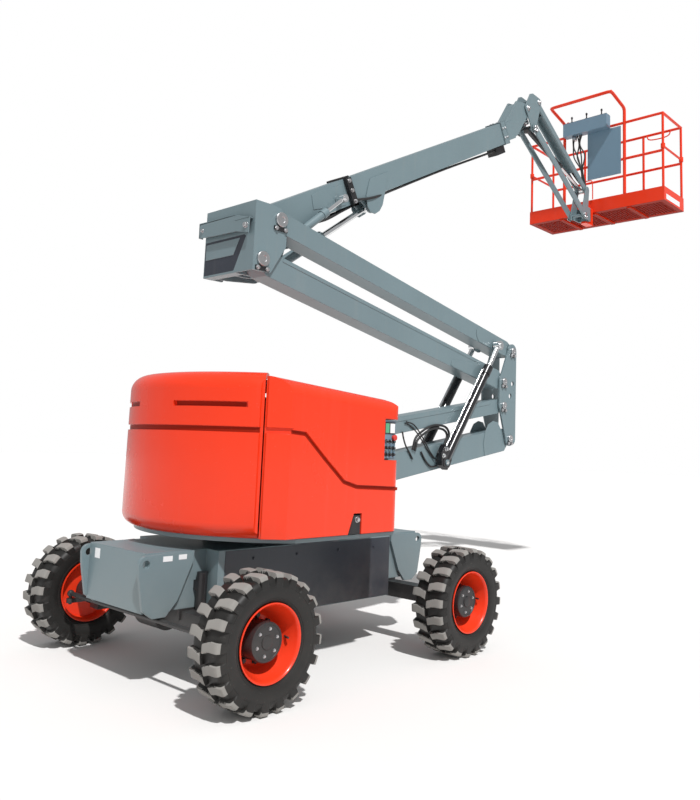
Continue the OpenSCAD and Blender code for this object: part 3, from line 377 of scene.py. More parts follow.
def rounded_path(points, reach, steps=6):
    """Straight runs with curved corners: (1-t)^2 a + 2t(1-t) p + t^2 b, a and b at the reach from p."""
    points = np.array(points)
    path = [points[0]]
    t = np.linspace(0, 1, steps)[:, None]
    for before, corner, after in zip(points, points[1:], points[2:]):
        a = corner + reach * (before - corner) / np.linalg.norm(before - corner)
        b = corner + reach * (after - corner) / np.linalg.norm(after - corner)
        path.extend((1 - t) ** 2 * a + 2 * t * (1 - t) * corner + t ** 2 * b)
    return np.array([*path, points[-1]])


def grid_quads(rows, columns, wrap_rows=False, wrap_columns=False):
    """Quads over a grid of points stored row by row, closed round in a direction that wraps."""
    row, column = np.meshgrid(np.arange(rows - (not wrap_rows)), np.arange(columns - (not wrap_columns)),
                              indexing="ij")
    next_row, next_column = (row + 1) % rows, (column + 1) % columns
    corners = [row * columns + column, row * columns + next_column,
               next_row * columns + next_column, next_row * columns + column]
    return np.stack(corners, -1).reshape(-1, 4)


def frame_along(axis):
    """Two unit vectors that make a right-handed set with a direction: (u, v, axis)."""
    axis = np.asarray(axis, float) / np.linalg.norm(axis)
    helper = np.array([0.0, 0.0, 1.0]) if abs(axis[2]) < 0.9 else np.array([1.0, 0.0, 0.0])
    u = np.cross(helper, axis)
    u /= np.linalg.norm(u)
    return u, np.cross(axis, u), axis


def signed_volume(points, quads, caps):
    """Six times the volume that closed faces hold, negative if they face inward."""
    triangles = [quads[:, [0, 1, 2]], quads[:, [0, 2, 3]]]
    for cap in caps:
        first = np.full(len(cap) - 2, cap[0])
        triangles.append(np.stack([first, cap[1:-1], cap[2:]], -1))
    a, b, c = np.moveaxis((points - points.mean(0))[np.concatenate(triangles)], 1, 0)
    return float(np.einsum("ij,ij->", a, np.cross(b, c)))


def turned_points(profile, centre, axis, sides, turn=0.0):
    """Point = centre + r (cos a u + sin a v) + h axis, one row for each (r, h) pair of the profile."""
    profile = np.asarray(profile, float)
    u, v, w = frame_along(axis)
    angle = turn + np.arange(sides) * 2 * np.pi / sides
    spoke = np.cos(angle)[:, None] * u + np.sin(angle)[:, None] * v
    return np.asarray(centre, float) + profile[:, 0, None, None] * spoke + profile[:, 1, None, None] * w


class Piece:
    """Gathers closed surfaces, then makes them one mesh object that rides on a body."""

    def __init__(self, name, body, *finishes):
        self.name, self.body, self.finishes = name, body, finishes
        self.points, self.faces, self.slots, self.count = [], [], [], 0

    def add(self, points, quads, caps=(), slot=0):
        """Adds one closed surface, turned to face outward; slot is one number, or one for each quad."""
        points = np.asarray(points, float).reshape(-1, 3)
        if signed_volume(points, quads, caps) < 0:
            quads = quads[:, ::-1]
            caps = [cap[::-1] for cap in caps]
        self.points.append(points)
        self.faces += (quads + self.count).tolist() + [(cap + self.count).tolist() for cap in caps]
        self.slots.append(np.broadcast_to(slot, len(quads)))
        self.slots.append(np.full(len(caps), np.max(slot)))
        self.count += len(points)

    def sleeve(self, points, slot=0):
        """Adds rows of points: each row is a loop, and flat caps close the first and the last."""
        rows, sides = points.shape[:2]
        loop = np.arange(sides)
        caps = [loop[::-1], (rows - 1) * sides + loop]
        self.add(points, grid_quads(rows, sides, wrap_columns=True), caps, slot)

    def turned(self, profile, centre, axis, sides=32, turn=0.0, slot=0):
        """A turned solid with flat ends, from a profile of (r, h) pairs."""
        self.sleeve(turned_points(profile, centre, axis, sides, turn), slot)

    def ring(self, profile, centre, axis, sides=64, slot=0):
        """A turned ring, from a closed profile that doesn't reach the axis."""
        quads = grid_quads(len(profile), sides, True, True)
        self.add(turned_points(profile, centre, axis, sides), quads, (), slot)

    def hose(self, path, radius, sides=12, slot=0):
        """A round tube: point = path + radius (cos a n + sin a b), with n and b square to the path."""
        path = np.asarray(path, float)
        tangent = np.gradient(path, axis=0)
        tangent /= np.linalg.norm(tangent, axis=1)[:, None]
        helper = np.eye(3)[int(np.argmin(np.abs(tangent).max(0)))]
        normal = np.cross(tangent, helper)
        normal /= np.linalg.norm(normal, axis=1)[:, None]
        binormal = np.cross(tangent, normal)
        angle = np.arange(sides) * 2 * np.pi / sides
        points = path[:, None] + radius * (np.cos(angle)[:, None] * normal[:, None]
                                           + np.sin(angle)[:, None] * binormal[:, None])
        self.sleeve(points, slot)

    def plate(self, outline, low, high, origin, u, v, slot=0):
        """A flat plate: point = origin + x u + y v + h (u cross v), for an outline (x, y) and two heights."""
        outline = np.asarray(outline, float)
        u, v = np.asarray(u, float), np.asarray(v, float)
        flat = np.asarray(origin, float) + outline[:, :1] * u + outline[:, 1:] * v
        normal = np.cross(u, v)
        self.sleeve(np.stack([flat + low * normal, flat + high * normal]), slot)

    def side_plate(self, outline, low, high, y):
        """A plate along the machine at one y, from an outline of (x, z) in millimetres from the slew axis."""
        self.plate(np.array(outline) / 1000, low, high, at(0, y, 0), (1, 0, 0), (0, 0, 1))

    def block(self, low, high, slot=0):
        """A box between two corners."""
        low, high = np.minimum(low, high), np.maximum(low, high)
        x, y, z = high - low
        self.plate([(0, 0), (x, 0), (x, y), (0, y)], 0, z, low, (1, 0, 0), (0, 1, 0), slot)

    def bolt(self, centre, axis, across=0.024, turn=0.3, slot=0):
        """A hexagon bolt head with a chamfered top on a round washer."""
        r = across / 2
        centre, axis = np.asarray(centre, float), np.asarray(axis, float)
        self.turned([(r * 1.4, -0.001), (r * 1.4, r * 0.22)], centre, axis, 20, slot=slot)
        head = [(r * 1.12, 0), (r * 1.12, r * 0.75), (r * 0.92, r * 0.95)]
        self.turned(head, centre + r * 0.22 * axis, axis, 6, turn, slot)

    def make(self, bevel=0.0, smooth=40.0):
        mesh = bpy.data.meshes.new(self.name)
        mesh.from_pydata(np.concatenate(self.points).tolist(), [], self.faces)
        for finish in self.finishes:
            mesh.materials.append(FINISH[finish])
        mesh.polygons.foreach_set("material_index", np.concatenate(self.slots).astype(np.int32))
        mesh.shade_smooth()
        mesh.set_sharp_from_angle(angle=math.radians(smooth))
        piece = bpy.data.objects.new(self.name, mesh)
        bpy.context.collection.objects.link(piece)
        if bevel:
            edge = piece.modifiers.new("edge", "BEVEL")
            edge.width = bevel
            edge.segments = 2
            edge.limit_method = "ANGLE"
            edge.angle_limit = math.radians(35)
            edge.harden_normals = True
        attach(piece, self.body)
        return piece


class LIFT_OT_finishes(bpy.types.Operator):
    """Make the finishes and give each CAD node the one its record names"""

    bl_idname = "lift.finishes"
    bl_label = "Finishes"

    def execute(self, context):
        make_finishes(context.scene.lift_finish)
        for part in frame["record"]["subparts"]:
            node = NODES[part["node"]]
            for slot in node.material_slots:
                slot.material = FINISH[part["material_slot"]]
        NODES["tie_rod"].material_slots[0].material = FINISH["axle_black"]
        return {"FINISHED"}


# Pins of the riser, boom and jib, in the frame's metres
A4 = joint_point("riser")
A3 = joint_point("lower_link_turn")
P4 = joint_point("mid_link_turn")
P3 = P4 + A3 - A4
P2 = joint_point("upper_riser_turn")
P1 = joint_point("upper_link_turn")
E2 = joint_point("elbow_turn")
E1 = joint_point("boom_lift")
J1 = joint_point("jib_level")
J2 = joint_point("jib")
U1 = joint_point("jib_upper_turn")
K2 = joint_point("head_level")
K1 = K2 + U1 - J2
NEAR = np.array([0.0, -1.0, 0.0])
FAR = np.array([0.0, 1.0, 0.0])
BOOM_TILT = math.radians(29.1)
BOOM_Y = 0.110
PLATFORM_X = round((K2[0] - SLEW_X) * 1000) + 320


def on_y(point, y):
    """The point moved square across the machine to a given y."""
    return np.array([point[0], y, point[2]])


def on_boom(along, y, up):
    """A place along the boom from its pin, across it, and above its middle line, in metres."""
    c, s = math.cos(BOOM_TILT), math.sin(BOOM_TILT)
    return np.array([E1[0] + along * c - up * s, BOOM_Y + y, E1[2] + along * s + up * c])


class LIFT_OT_wheels(bpy.types.Operator):
    """Make lugged tyres, dished rims, hub drums and wheel nuts"""

    bl_idname = "lift.wheels"
    bl_label = "Wheels"

    # Half sections as (radius, across) in millimetres, from the bead to the middle of the tread
    casing = [(204.6, 103), (224, 113), (250, 128), (275, 134), (300, 134.5), (325, 131), (345, 119),
              (357, 98), (360, 60), (360, 24), (360, 0)]
    lugged = [(204.6, 103), (224, 113), (250, 128), (275, 134), (301, 135), (332, 136.5), (362, 134),
              (381.5, 121), (384.5, 60), (385.5, 24), (386, 0)]
    rim_section = [(204, 107), (217, 113), (220, 118), (219, 122.5), (213, 123), (206, 117), (202, 104),
                   (196, 82), (184, 50), (170, 16), (156, -16), (146, -36), (134, -44), (60, -44),
                   (60, -60), (190, -60), (194, -70), (198, -104), (206, -119), (213, -123),
                   (219, -122.5), (220, -118), (217, -113), (204, -107)]
    drum_section = [(62, -62), (112, -46), (112, 76), (109, 84), (103, 88), (96, 88), (94, 85), (40, 85),
                    (38, 90), (34, 92), (10, 92)]

    def execute(self, context):
        settings = context.scene.lift_wheel
        for wheel in ("steer_left", "steer_right", "drive_left", "drive_right"):
            low, high = box_of("tyre_" + wheel)
            centre = (low + high) / 2
            centre[2] = joint_point("spin_" + wheel)[2]
            side = math.copysign(1.0, centre[1])
            self.make_tyre(settings, wheel, centre)
            self.make_rim(settings, wheel, centre, side)
        return {"FINISHED"}

    def make_tyre(self, settings, wheel, centre):
        """Point = casing(s) + m(a, s) (lugged(s) - casing(s)), turned by the angle a about the axle.

        s runs across the section from bead to bead. m is 1 on a lug and 0 between lugs: at the middle a lug
        starts behind its own line and leans forward, and at the shoulder it runs straight.
        """
        def section(half):
            half = np.array(half) / 1000
            return smooth_path(np.concatenate([half, half[-2::-1] * [1, -1]]), 73)

        bare, full = section(self.casing), section(self.lugged)
        turns = 32 * settings.lugs
        angle = np.arange(turns) * 2 * np.pi / turns
        across = full[:, 1] * 1000
        radius = self.lugged[-1][0]
        pitch = 2 * np.pi * radius / settings.lugs
        lead = math.asin(44 / radius) * radius
        around = angle[:, None] * radius + lead - np.where(across > 0, 0.0, pitch / 2)
        around = (around + pitch / 2) % pitch - pitch / 2
        wide = np.abs(across)
        back = np.interp(wide, [0, 66, 140], [-34, -14, -14])
        front = np.interp(wide, [0, 66, 140], [20, 44, 44])
        mask = smoothstep(back - 3, back + 2, around) * (1 - smoothstep(front - 2, front + 3, around))
        mask = mask * smoothstep(3, 7, wide) * smoothstep(280, 330, full[:, 0] * 1000)
        point = bare + mask[..., None] * (full - bare)
        points = np.stack([point[..., 0] * np.cos(angle)[:, None], point[..., 1],
                           -point[..., 0] * np.sin(angle)[:, None]], -1) + centre
        rows, columns = mask.shape
        quads = grid_quads(rows, columns, True, True)
        top = (mask.reshape(-1)[quads].min(1) > 0.02) & (point[..., 0].reshape(-1)[quads].max(1) > 0.364)
        tyre = Piece("tyre_tread_" + wheel, "wheel_" + wheel, "tyre_rubber", "tyre_dust")
        tyre.add(points, quads, (), top.astype(int))
        for r, y in ((0.2335, 0.118), (0.243, 0.124), (0.3115, 0.1330)):
            for sign in (-1, 1):
                a = np.arange(8) * np.pi / 4
                bead = np.stack([r + 0.0028 * np.cos(a), sign * y + 0.0028 * np.sin(a)], -1)
                tyre.ring(bead, centre, FAR, 96)
        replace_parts(tyre.make(smooth=30), "tyre_" + wheel)

    def make_rim(self, settings, wheel, centre, side):
        axis = FAR * side
        rim = Piece("rim_dish_" + wheel, "wheel_" + wheel, "rim_orange")
        rim.ring(np.array(self.rim_section) / 1000, centre, axis, 128)
        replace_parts(rim.make(smooth=45), "rim_" + wheel)
        drum = Piece("hub_drum_" + wheel, "wheel_" + wheel, "axle_black", "bare_steel")
        drum.turned(np.array(self.drum_section) / 1000, centre, axis, 72)
        u, v, w = frame_along(axis)
        nut_turns = np.arange(settings.nuts) * 2 * np.pi / settings.nuts
        cap_turns = np.arange(6) * np.pi / 3 + 0.3
        for turns, reach, out, across, slot in ((nut_turns, 0.128, -0.044, 0.028, 0),
                                                (cap_turns, 0.074, 0.085, 0.014, 1)):
            for angle in turns:
                spoke = math.cos(angle) * u + math.sin(angle) * v
                drum.bolt(centre + reach * spoke + out * w, w, across, angle, slot)
        valve = [centre + a * u + b * w for a, b in ((0.176, 0.030), (0.168, 0.052), (0.162, 0.078))]
        drum.hose(smooth_path(valve, 8), 0.006, 10)
        drum.make(smooth=35)


class LIFT_OT_pins(bpy.types.Operator):
    """Make the pin heads, keeper plates and bolts of the riser, elbow and jib"""

    bl_idname = "lift.pins"
    bl_label = "Pins"

    def execute(self, context):
        size = context.scene.lift_trim.pin_head
        self.make_heads("mid_link_pins", "mid_link", [P1, P2, P3, P4], "mid_link", size, 0.014)
        self.make_heads("elbow_pins", "elbow", [E1, E2], "elbow", size * 1.5, 0.014, far=False)
        self.make_elbow_back()
        self.make_heads("tower_pins", "turret", [A3, A4], "mid_link", size, 0.012)
        self.make_heads("jib_pins", "jib_bracket", [J2], "jib_bracket", size * 0.72, 0.008)
        self.make_heads("head_pins", "platform_head", [K2], "platform_head", size * 0.72, 0.008)
        plain = Piece("jib_bolts", "jib_bracket", "bare_steel")
        for pin in (J1, U1):
            for y, way in ((BOOM_Y - 0.082, NEAR), (BOOM_Y + 0.082, FAR)):
                plain.turned([(0.030, -0.001), (0.030, 0.006), (0.026, 0.010)], on_y(pin, y), way, 32)
                plain.bolt(on_y(pin, y) + 0.010 * way, way, 0.026)
        plain.make(smooth=30)
        return {"FINISHED"}

    def make_elbow_back(self):
        """The hose bracket that stands off the elbow's back, and below it a painted opening: a dark navy plate of
        painted shadow, with a frame-grey plate on it for the lit inside.
        """
        across, up = (0, 0.001, 0), (0, 0, 0.001)
        bracket = Piece("elbow_bracket", "elbow", "frame_grey", "bare_steel")
        bracket.plate([(333, 2996), (336, 3112), (-104, 3104), (-268, 3062), (-262, 2950), (-124, 2979),
                       (172, 2986)], -8000, 0, at(-598, 0, 0), across, up)
        bracket.block(at(-606, -268, 3058), at(-570, -100, 3064))
        bracket.block(at(-606, -104, 3098), at(-570, 334, 3106))
        bracket.block(at(-606, 326, 2996), at(-570, 334, 3106))
        bracket.bolt(at(-606, -230, 3010), (-1, 0, 0), 0.034, slot=1)
        bracket.bolt(at(-606, 290, 3050), (-1, 0, 0), 0.024, slot=1)
        bracket.make(bevel=0.002)
        # Painted shadow: a dark navy plate where the back wall's opening would show shade inside, and on it a
        # frame-grey plate for the lit inner face
        opening_shade = Piece("elbow_opening_painted_shade", "elbow", "dark_navy", "frame_grey")
        opening_shade.plate([(284, 2958), (-176, 2958), (-197, 2944), (-72, 2706), (284, 2706)], 0, 1500,
                    at(-572.5, 0, 0), across, up)
        opening_shade.plate([(270, 2940), (-130, 2940), (-64, 2822), (270, 2822)], 0, 4000, at(-576, 0, 0),
                    across, up, 1)
        opening_shade.make(bevel=0.001)

    def make_heads(self, name, body, pins, node, size, stands, far=True):
        """A round head on each pin's end, with a keeper bar and its two bolts on the plate beside it."""
        low, high = box_of(node)
        heads = Piece(name, body, "bare_steel", "cylinder_black")
        ends = [(low[1], NEAR)] + ([(high[1], FAR)] if far else [])
        for pin in pins:
            for y, way in ends:
                end = on_y(pin, y)
                heads.turned([(size, -stands), (size, 0.004), (size - 0.003, 0.007), (size * 0.45, 0.007),
                              (size * 0.40, 0.004)], end, way, 40)
                bar = end - stands * way + np.array([0.0, 0, -size * 1.28])
                heads.block(bar + [-size * 1.15, 0, -0.016], bar + [size * 1.15, 0, 0.016] + 0.009 * way, 1)
                for x in (-0.8, 0.8):
                    heads.bolt(bar + [x * size, 0, 0] + 0.009 * way, way, 0.024, 0.2)
        heads.make(smooth=30)


class LIFT_OT_boom(bpy.types.Operator):
    """Make the boom's clamp block, hose bundle, weld beads and mouth fittings"""

    bl_idname = "lift.boom"
    bl_label = "Boom"

    def execute(self, context):
        radius = context.scene.lift_trim.hose_radius
        c, s = math.cos(BOOM_TILT), math.sin(BOOM_TILT)
        u, n = np.array([c, 0, s]), np.array([-s, 0, c])
        pin = on_boom(0, 0, 0)
        black = Piece("boom_clamp", "main_boom", "axle_black", "bare_steel")
        for y0, y1, z0, z1 in ((0.090, 0.128, -0.134, 0.112), (-0.106, -0.090, -0.130, 0.130),
                               (-0.106, 0.106, 0.114, 0.130), (-0.106, 0.128, -0.134, -0.114)):
            black.plate([(1.108, z0), (1.172, z0), (1.172, z1), (1.108, z1)], y0, y1, pin, u, n)
        for z in (-0.095, 0.0, 0.085):
            black.bolt(on_boom(1.140, -0.128, z), NEAR, 0.026, slot=1)
        black.plate([(3.66, -0.205), (3.84, -0.205), (3.84, -0.122), (3.66, -0.122)], -0.07, 0.05,
                    pin, u, n)
        black.make(bevel=0.004)
        hoses = Piece("boom_hoses", "main_boom", "hose_rubber")
        for k in range(3):
            y = -0.060 + 0.028 * k
            path = ((0.34, y, -0.127), (0.55, y - 0.01, -0.132), (0.78, y - 0.012, -0.150 + 0.008 * k),
                    (1.00, y, -0.136), (1.12, y, -0.128))
            hoses.hose(smooth_path([on_boom(*spot) for spot in path], 40), radius)
        path = ((1.18, -0.108, -0.09), (1.42, -0.102, -0.125), (1.75, -0.07, -0.128), (2.6, -0.06, -0.128),
                (3.66, -0.03, -0.150))
        hoses.hose(smooth_path([on_boom(*spot) for spot in path], 50), radius)
        hoses.make(smooth=60)
        welds = Piece("boom_welds", "main_boom", "frame_grey")
        for y in (-0.066, -0.044, 0.044, 0.066):
            welds.hose(np.linspace(on_boom(1.285, y, -0.114), on_boom(1.555, y, -0.114), 24), 0.005, 8)
        for along in (3.81, 3.90):
            ring = [on_boom(along, y, z) for y, z in ((-0.098, -0.122), (0.098, -0.122), (0.098, 0.122),
                                                      (-0.098, 0.122), (-0.098, -0.122))]
            for a, b in zip(ring, ring[1:]):
                welds.hose(np.linspace(a, b, 12), 0.004, 8)
        welds.make(smooth=60)
        sides = Piece("boom_side_plates", "main_boom", "frame_grey")
        cheek = [(902, 3835), (1136, 3966), (1112, 3801), (1078, 3640), (1040, 3575), (985, 3535),
                 (925, 3535), (885, 3575), (862, 3671)]
        heel = [(225, 3500), (300, 3555), (426, 3610), (560, 3685), (625, 3520), (255, 3385)]
        for y, t in ((20, -10), (200, 10)):
            for outline, thick in ((cheek, 1.0), (heel, 0.45)):
                sides.side_plate(outline, *sorted((0.0, -t * thick / 1000)), y)
        sides.make(bevel=0.003)
        pads = Piece("boom_pad_bolts", "main_boom", "bare_steel")
        for along in (3.83, 3.88):
            for z in (-0.05, 0.05):
                pads.bolt(on_boom(along, -0.098, z), NEAR, 0.018)
                pads.bolt(on_boom(along, 0.098, z), FAR, 0.018)
            for y in (-0.04, 0.04):
                pads.bolt(on_boom(along, y, 0.122), n, 0.018)
        pads.make(smooth=30)
        return {"FINISHED"}


class LIFT_OT_riser(bpy.types.Operator):
    """Make the riser's hoses, doubler plates and cylinder fittings"""

    bl_idname = "lift.riser"
    bl_label = "Riser"

    def execute(self, context):
        radius = context.scene.lift_trim.hose_radius
        hoses = Piece("riser_hoses", "lower_riser", "hose_rubber")
        for path, y, share in (
                ([(1690, 1480), (1736, 1566), (1765, 1634), (1715, 1690), (1604, 1704), (1497, 1689),
                  (1394, 1648), (1294, 1580), (1260, 1480)], -275, 0.9),
                ([(1660, 1470), (1712, 1560), (1735, 1620), (1690, 1664), (1600, 1676), (1505, 1662),
                  (1410, 1622), (1318, 1560), (1290, 1470)], -275, 0.9),
                ([(1149, 1700), (1201, 1690), (1306, 1630), (1399, 1546), (1492, 1456), (1555, 1410)],
                 -273, 0.5),
                ([(1159, 1712), (1261, 1690), (1369, 1601), (1494, 1466), (1558, 1411)], -280, 0.5),
                ([(1117, 1627), (1133, 1574), (1165, 1512), (1223, 1448), (1260, 1400)], -275, 0.6),
                ([(1373, 1463), (1436, 1390), (1514, 1340), (1590, 1345)], -275, 0.7)):
            hoses.hose(smooth_path([at(x, y, z) for x, z in path], 60), radius * share)
        hoses.make(smooth=60)
        self.make_gussets()
        self.make_cylinder_fittings()
        lines = Piece("upper_link_lines", "upper_link", "hose_rubber")
        up = (E1 - P1) / np.linalg.norm(E1 - P1)
        n = np.array([up[2], 0, -up[0]])
        path = ((0.25, 0.094), (1.0, 0.092), (2.0, 0.096), (2.95, 0.092))
        for y in (-0.16, -0.16 - 0.04):
            lines.hose(smooth_path([on_y(P1 + s * up + d * n, y) for s, d in path], 50), radius)
        lines.make(smooth=60)
        return {"FINISHED"}

    def make_gussets(self):
        """Doubler plates near the link's end, and the welded beams' proud edge strips, on both faces."""
        plates = {
            "upper_riser": [(1775, 2262), (1790, 2300), (1829, 2310), (2349, 2326), (2500, 2296),
                            (2500, 2114), (1818, 2244)],
            "upper_link": [(2205, 2674), (2172, 2640), (2168, 2600), (2190, 2556), (2216, 2530),
                           (2640, 2448), (2690, 2440), (2690, 2594), (2640, 2604)],
            "lower_riser": [(2321, 1560), (2350, 1680), (2400, 1750), (2479, 1785), (2560, 1775),
                            (2615, 1710), (2640, 1640), (2656, 1500), (2640, 1496), (2345, 1446)]}
        beams = {"upper_riser": (P2, E2, 0.093, 0.032), "lower_link": (A3, P3, 0.069, 0.040),
                 "upper_link": (P1, E1, 0.078, 0.0), "lower_riser": (A4, P4, 0.110, 0.0)}
        for beam, (first, last, high, drop) in beams.items():
            piece = Piece(beam + "_doublers", beam, "frame_grey")
            u = (last - first) / np.linalg.norm(last - first)
            n = np.array([-u[2], 0, u[0]]) * math.copysign(1, u[0])
            length = np.linalg.norm(last - first)
            for y, way in ((-0.265, 1), (-0.095, -1)):
                if beam in plates:
                    piece.side_plate(plates[beam], *sorted((0.0, 0.005 * way)), y * 1000)
                if drop:
                    flip = np.cross(u, n)[1] < 0
                    strip = (0.0, 0.003) if flip == (way > 0) else (-0.003, 0.0)
                    a, b, c, d = 0.20, length - 0.20, high - drop, high - 0.004
                    piece.plate([(a, c), (b, c), (b, d), (a, d)], *strip, on_y(first, y), u, n)
            piece.make(bevel=0.0015)

    def make_cylinder_fittings(self):
        """The base block, hard line and bolts of each riser cylinder."""
        base, eye = np.array([1634.0, 1379]), np.array([2459.0, 2518])
        u = (eye - base) / np.linalg.norm(eye - base)
        n = np.array([-u[1], u[0]])
        fittings = Piece("riser_cylinder_fittings", "riser_barrels", "cylinder_black", "rod_chrome")
        block = ((-45, -50), (-60, 40), (20, 105), (120, 105), (120, 40), (60, -50))
        for y, way in ((-327, NEAR), (-33, FAR)):
            fittings.side_plate([base + a * u + b * n for a, b in block], -0.030, 0.030, y)
            line = [base + a * u + 62 * n for a in (70, 400, 800, 1040)]
            fittings.hose([at(x, y, z) for x, z in line], 0.009, 12, 1)
            for a in (330, 700, 1040):
                x, z = base + a * u + 50 * n
                fittings.turned([(0.016, -0.016), (0.016, 0.016)], at(x, y, z), (u[0], 0, u[1]), 16)
            for a, b in ((0, 0), (90, 78), (20, 72)):
                x, z = base + a * u + b * n
                fittings.bolt(at(x, y, z) + 0.030 * way, way, 0.030, slot=1)
            gland = base + 1096 * u
            fittings.turned([(0.047, -0.03), (0.047, 0.03)], at(gland[0], y, gland[1]), (u[0], 0, u[1]), 32)
        fittings.make(bevel=0.002)


class LIFT_OT_turret(bpy.types.Operator):
    """Make the hood's latch, the control panel and the painted shade in the grooves"""

    bl_idname = "lift.turret"
    bl_label = "Turret"

    def execute(self, context):
        latch = Piece("hood_latch", "hood_right", "axle_black", "bare_steel")
        latch.side_plate([(-100, 905), (-55, 1030), (10, 1030), (10, 905)], 0, 0.010, -860)
        latch.bolt(at(-22, -870, 1000), NEAR, 0.030, slot=1)
        latch.make(bevel=0.003)
        panel = Piece("control_panel", "turret", "console_grey", "cylinder_black", "card_white", "knob_red",
                      "card_green")
        x0, x1, face = 237, 363, -845
        panel.block(at(x0, face, 1412), at(x1, face - 8, 1678))
        panel.block(at(x0 + 8, face - 8, 1585), at(x1 - 8, face - 12, 1668), 1)
        panel.block(at(x0 + 12, face - 12, 1592), at(x0 + 52, face - 14, 1660), 4)
        panel.block(at(x0 + 62, face - 12, 1592), at(x1 - 14, face - 14, 1660), 2)
        knob = np.array([(15, -1), (15, 4), (11, 6), (9, 20), (6, 23)]) / 1000
        stop = np.array([(17, 0), (17, 10), (21, 12), (21, 22), (16, 26)]) / 1000
        for row in range(3):
            for column in range(3):
                spot = at(x0 + 26 + 37 * column, face - 8, 1440 + 46 * row)
                panel.turned(knob, spot, NEAR, 20, slot=1)
        panel.turned(stop, at(x1 - 26, face - 8, 1560), NEAR, 28, slot=3)
        panel.make(bevel=0.002)
        self.make_grooves()
        return {"FINISHED"}

    def make_grooves(self):
        """Painted shade: thin dark bands on the floors of the seam, the vents and the hoods' stepped grooves,
        where shade falls.

        A round band is radius (cos a, sin a) about the slew axis, swept over its angles and its height.
        """
        back = box_of("tail_cover")[0][0] - SLEW_X
        # Painted shade: thin dark bands on the floors of the tail's seam and vents
        tail_shade_band = Piece("tail_groove_shade_bands", "turret", "orange_painted_shade")
        for low, high, z0, z1, depth in ((-43, 43, 1.552, 1.582, 0.0125),
                                         (-38, -11.2, 1.709, 1.737, 0.0185),
                                         (11.2, 38, 1.709, 1.737, 0.0185)):
            angle = np.radians(np.linspace(low, high, 48))
            points = [[(SLEW_X + (back + d) * math.cos(a), (back + d) * math.sin(a), z) for d, z in
                       ((depth, z0), (depth, z1), (depth + 0.001, z1), (depth + 0.001, z0))] for a in angle]
            tail_shade_band.sleeve(np.array(points))
        tail_shade_band.make()
        step = np.array([(-640, 1564), (-531, 1554), (-366, 1412), (-168, 1251), (-41, 1217), (390, 1199)])
        tangent = np.gradient(step, axis=0)
        across = np.stack([-tangent[:, 1], tangent[:, 0]], -1) / np.linalg.norm(tangent, axis=1)[:, None]
        outline = np.concatenate([step + 11 * across, (step - 11 * across)[::-1]])
        # Painted shade: a thin dark band along the floor of the stepped grooves on each hood
        for name, y in (("hood_right", -862), ("hood_left", 863)):
            groove_shade = Piece(name + "_groove_shade_band", name, "orange_painted_shade")
            groove_shade.side_plate(outline, 0, 0.001, y)
            groove_shade.make()


class LIFT_OT_jib(bpy.types.Operator):
    """Make the jib's hoses"""

    bl_idname = "lift.jib"
    bl_label = "Jib"

    def execute(self, context):
        radius = context.scene.lift_trim.hose_radius * 0.85
        hoses = Piece("jib_hoses", "jib_upper_arm", "hose_rubber")
        up = (K1 - U1) / np.linalg.norm(K1 - U1)
        n = np.array([-up[2], 0, up[0]])
        for k in range(4):
            y = BOOM_Y - 0.030 + 0.020 * k
            path = [(0.02, 0.052 + 0.01 * k), (0.22, 0.045), (0.6, 0.044), (1.0, 0.045),
                    (1.26, 0.05 + 0.008 * k), (1.40, 0.062 + 0.014 * k)]
            hoses.hose(smooth_path([on_y(U1 + s * up + d * n, y) for s, d in path], 50), radius)
        hoses.make(smooth=60)
        return {"FINISHED"}


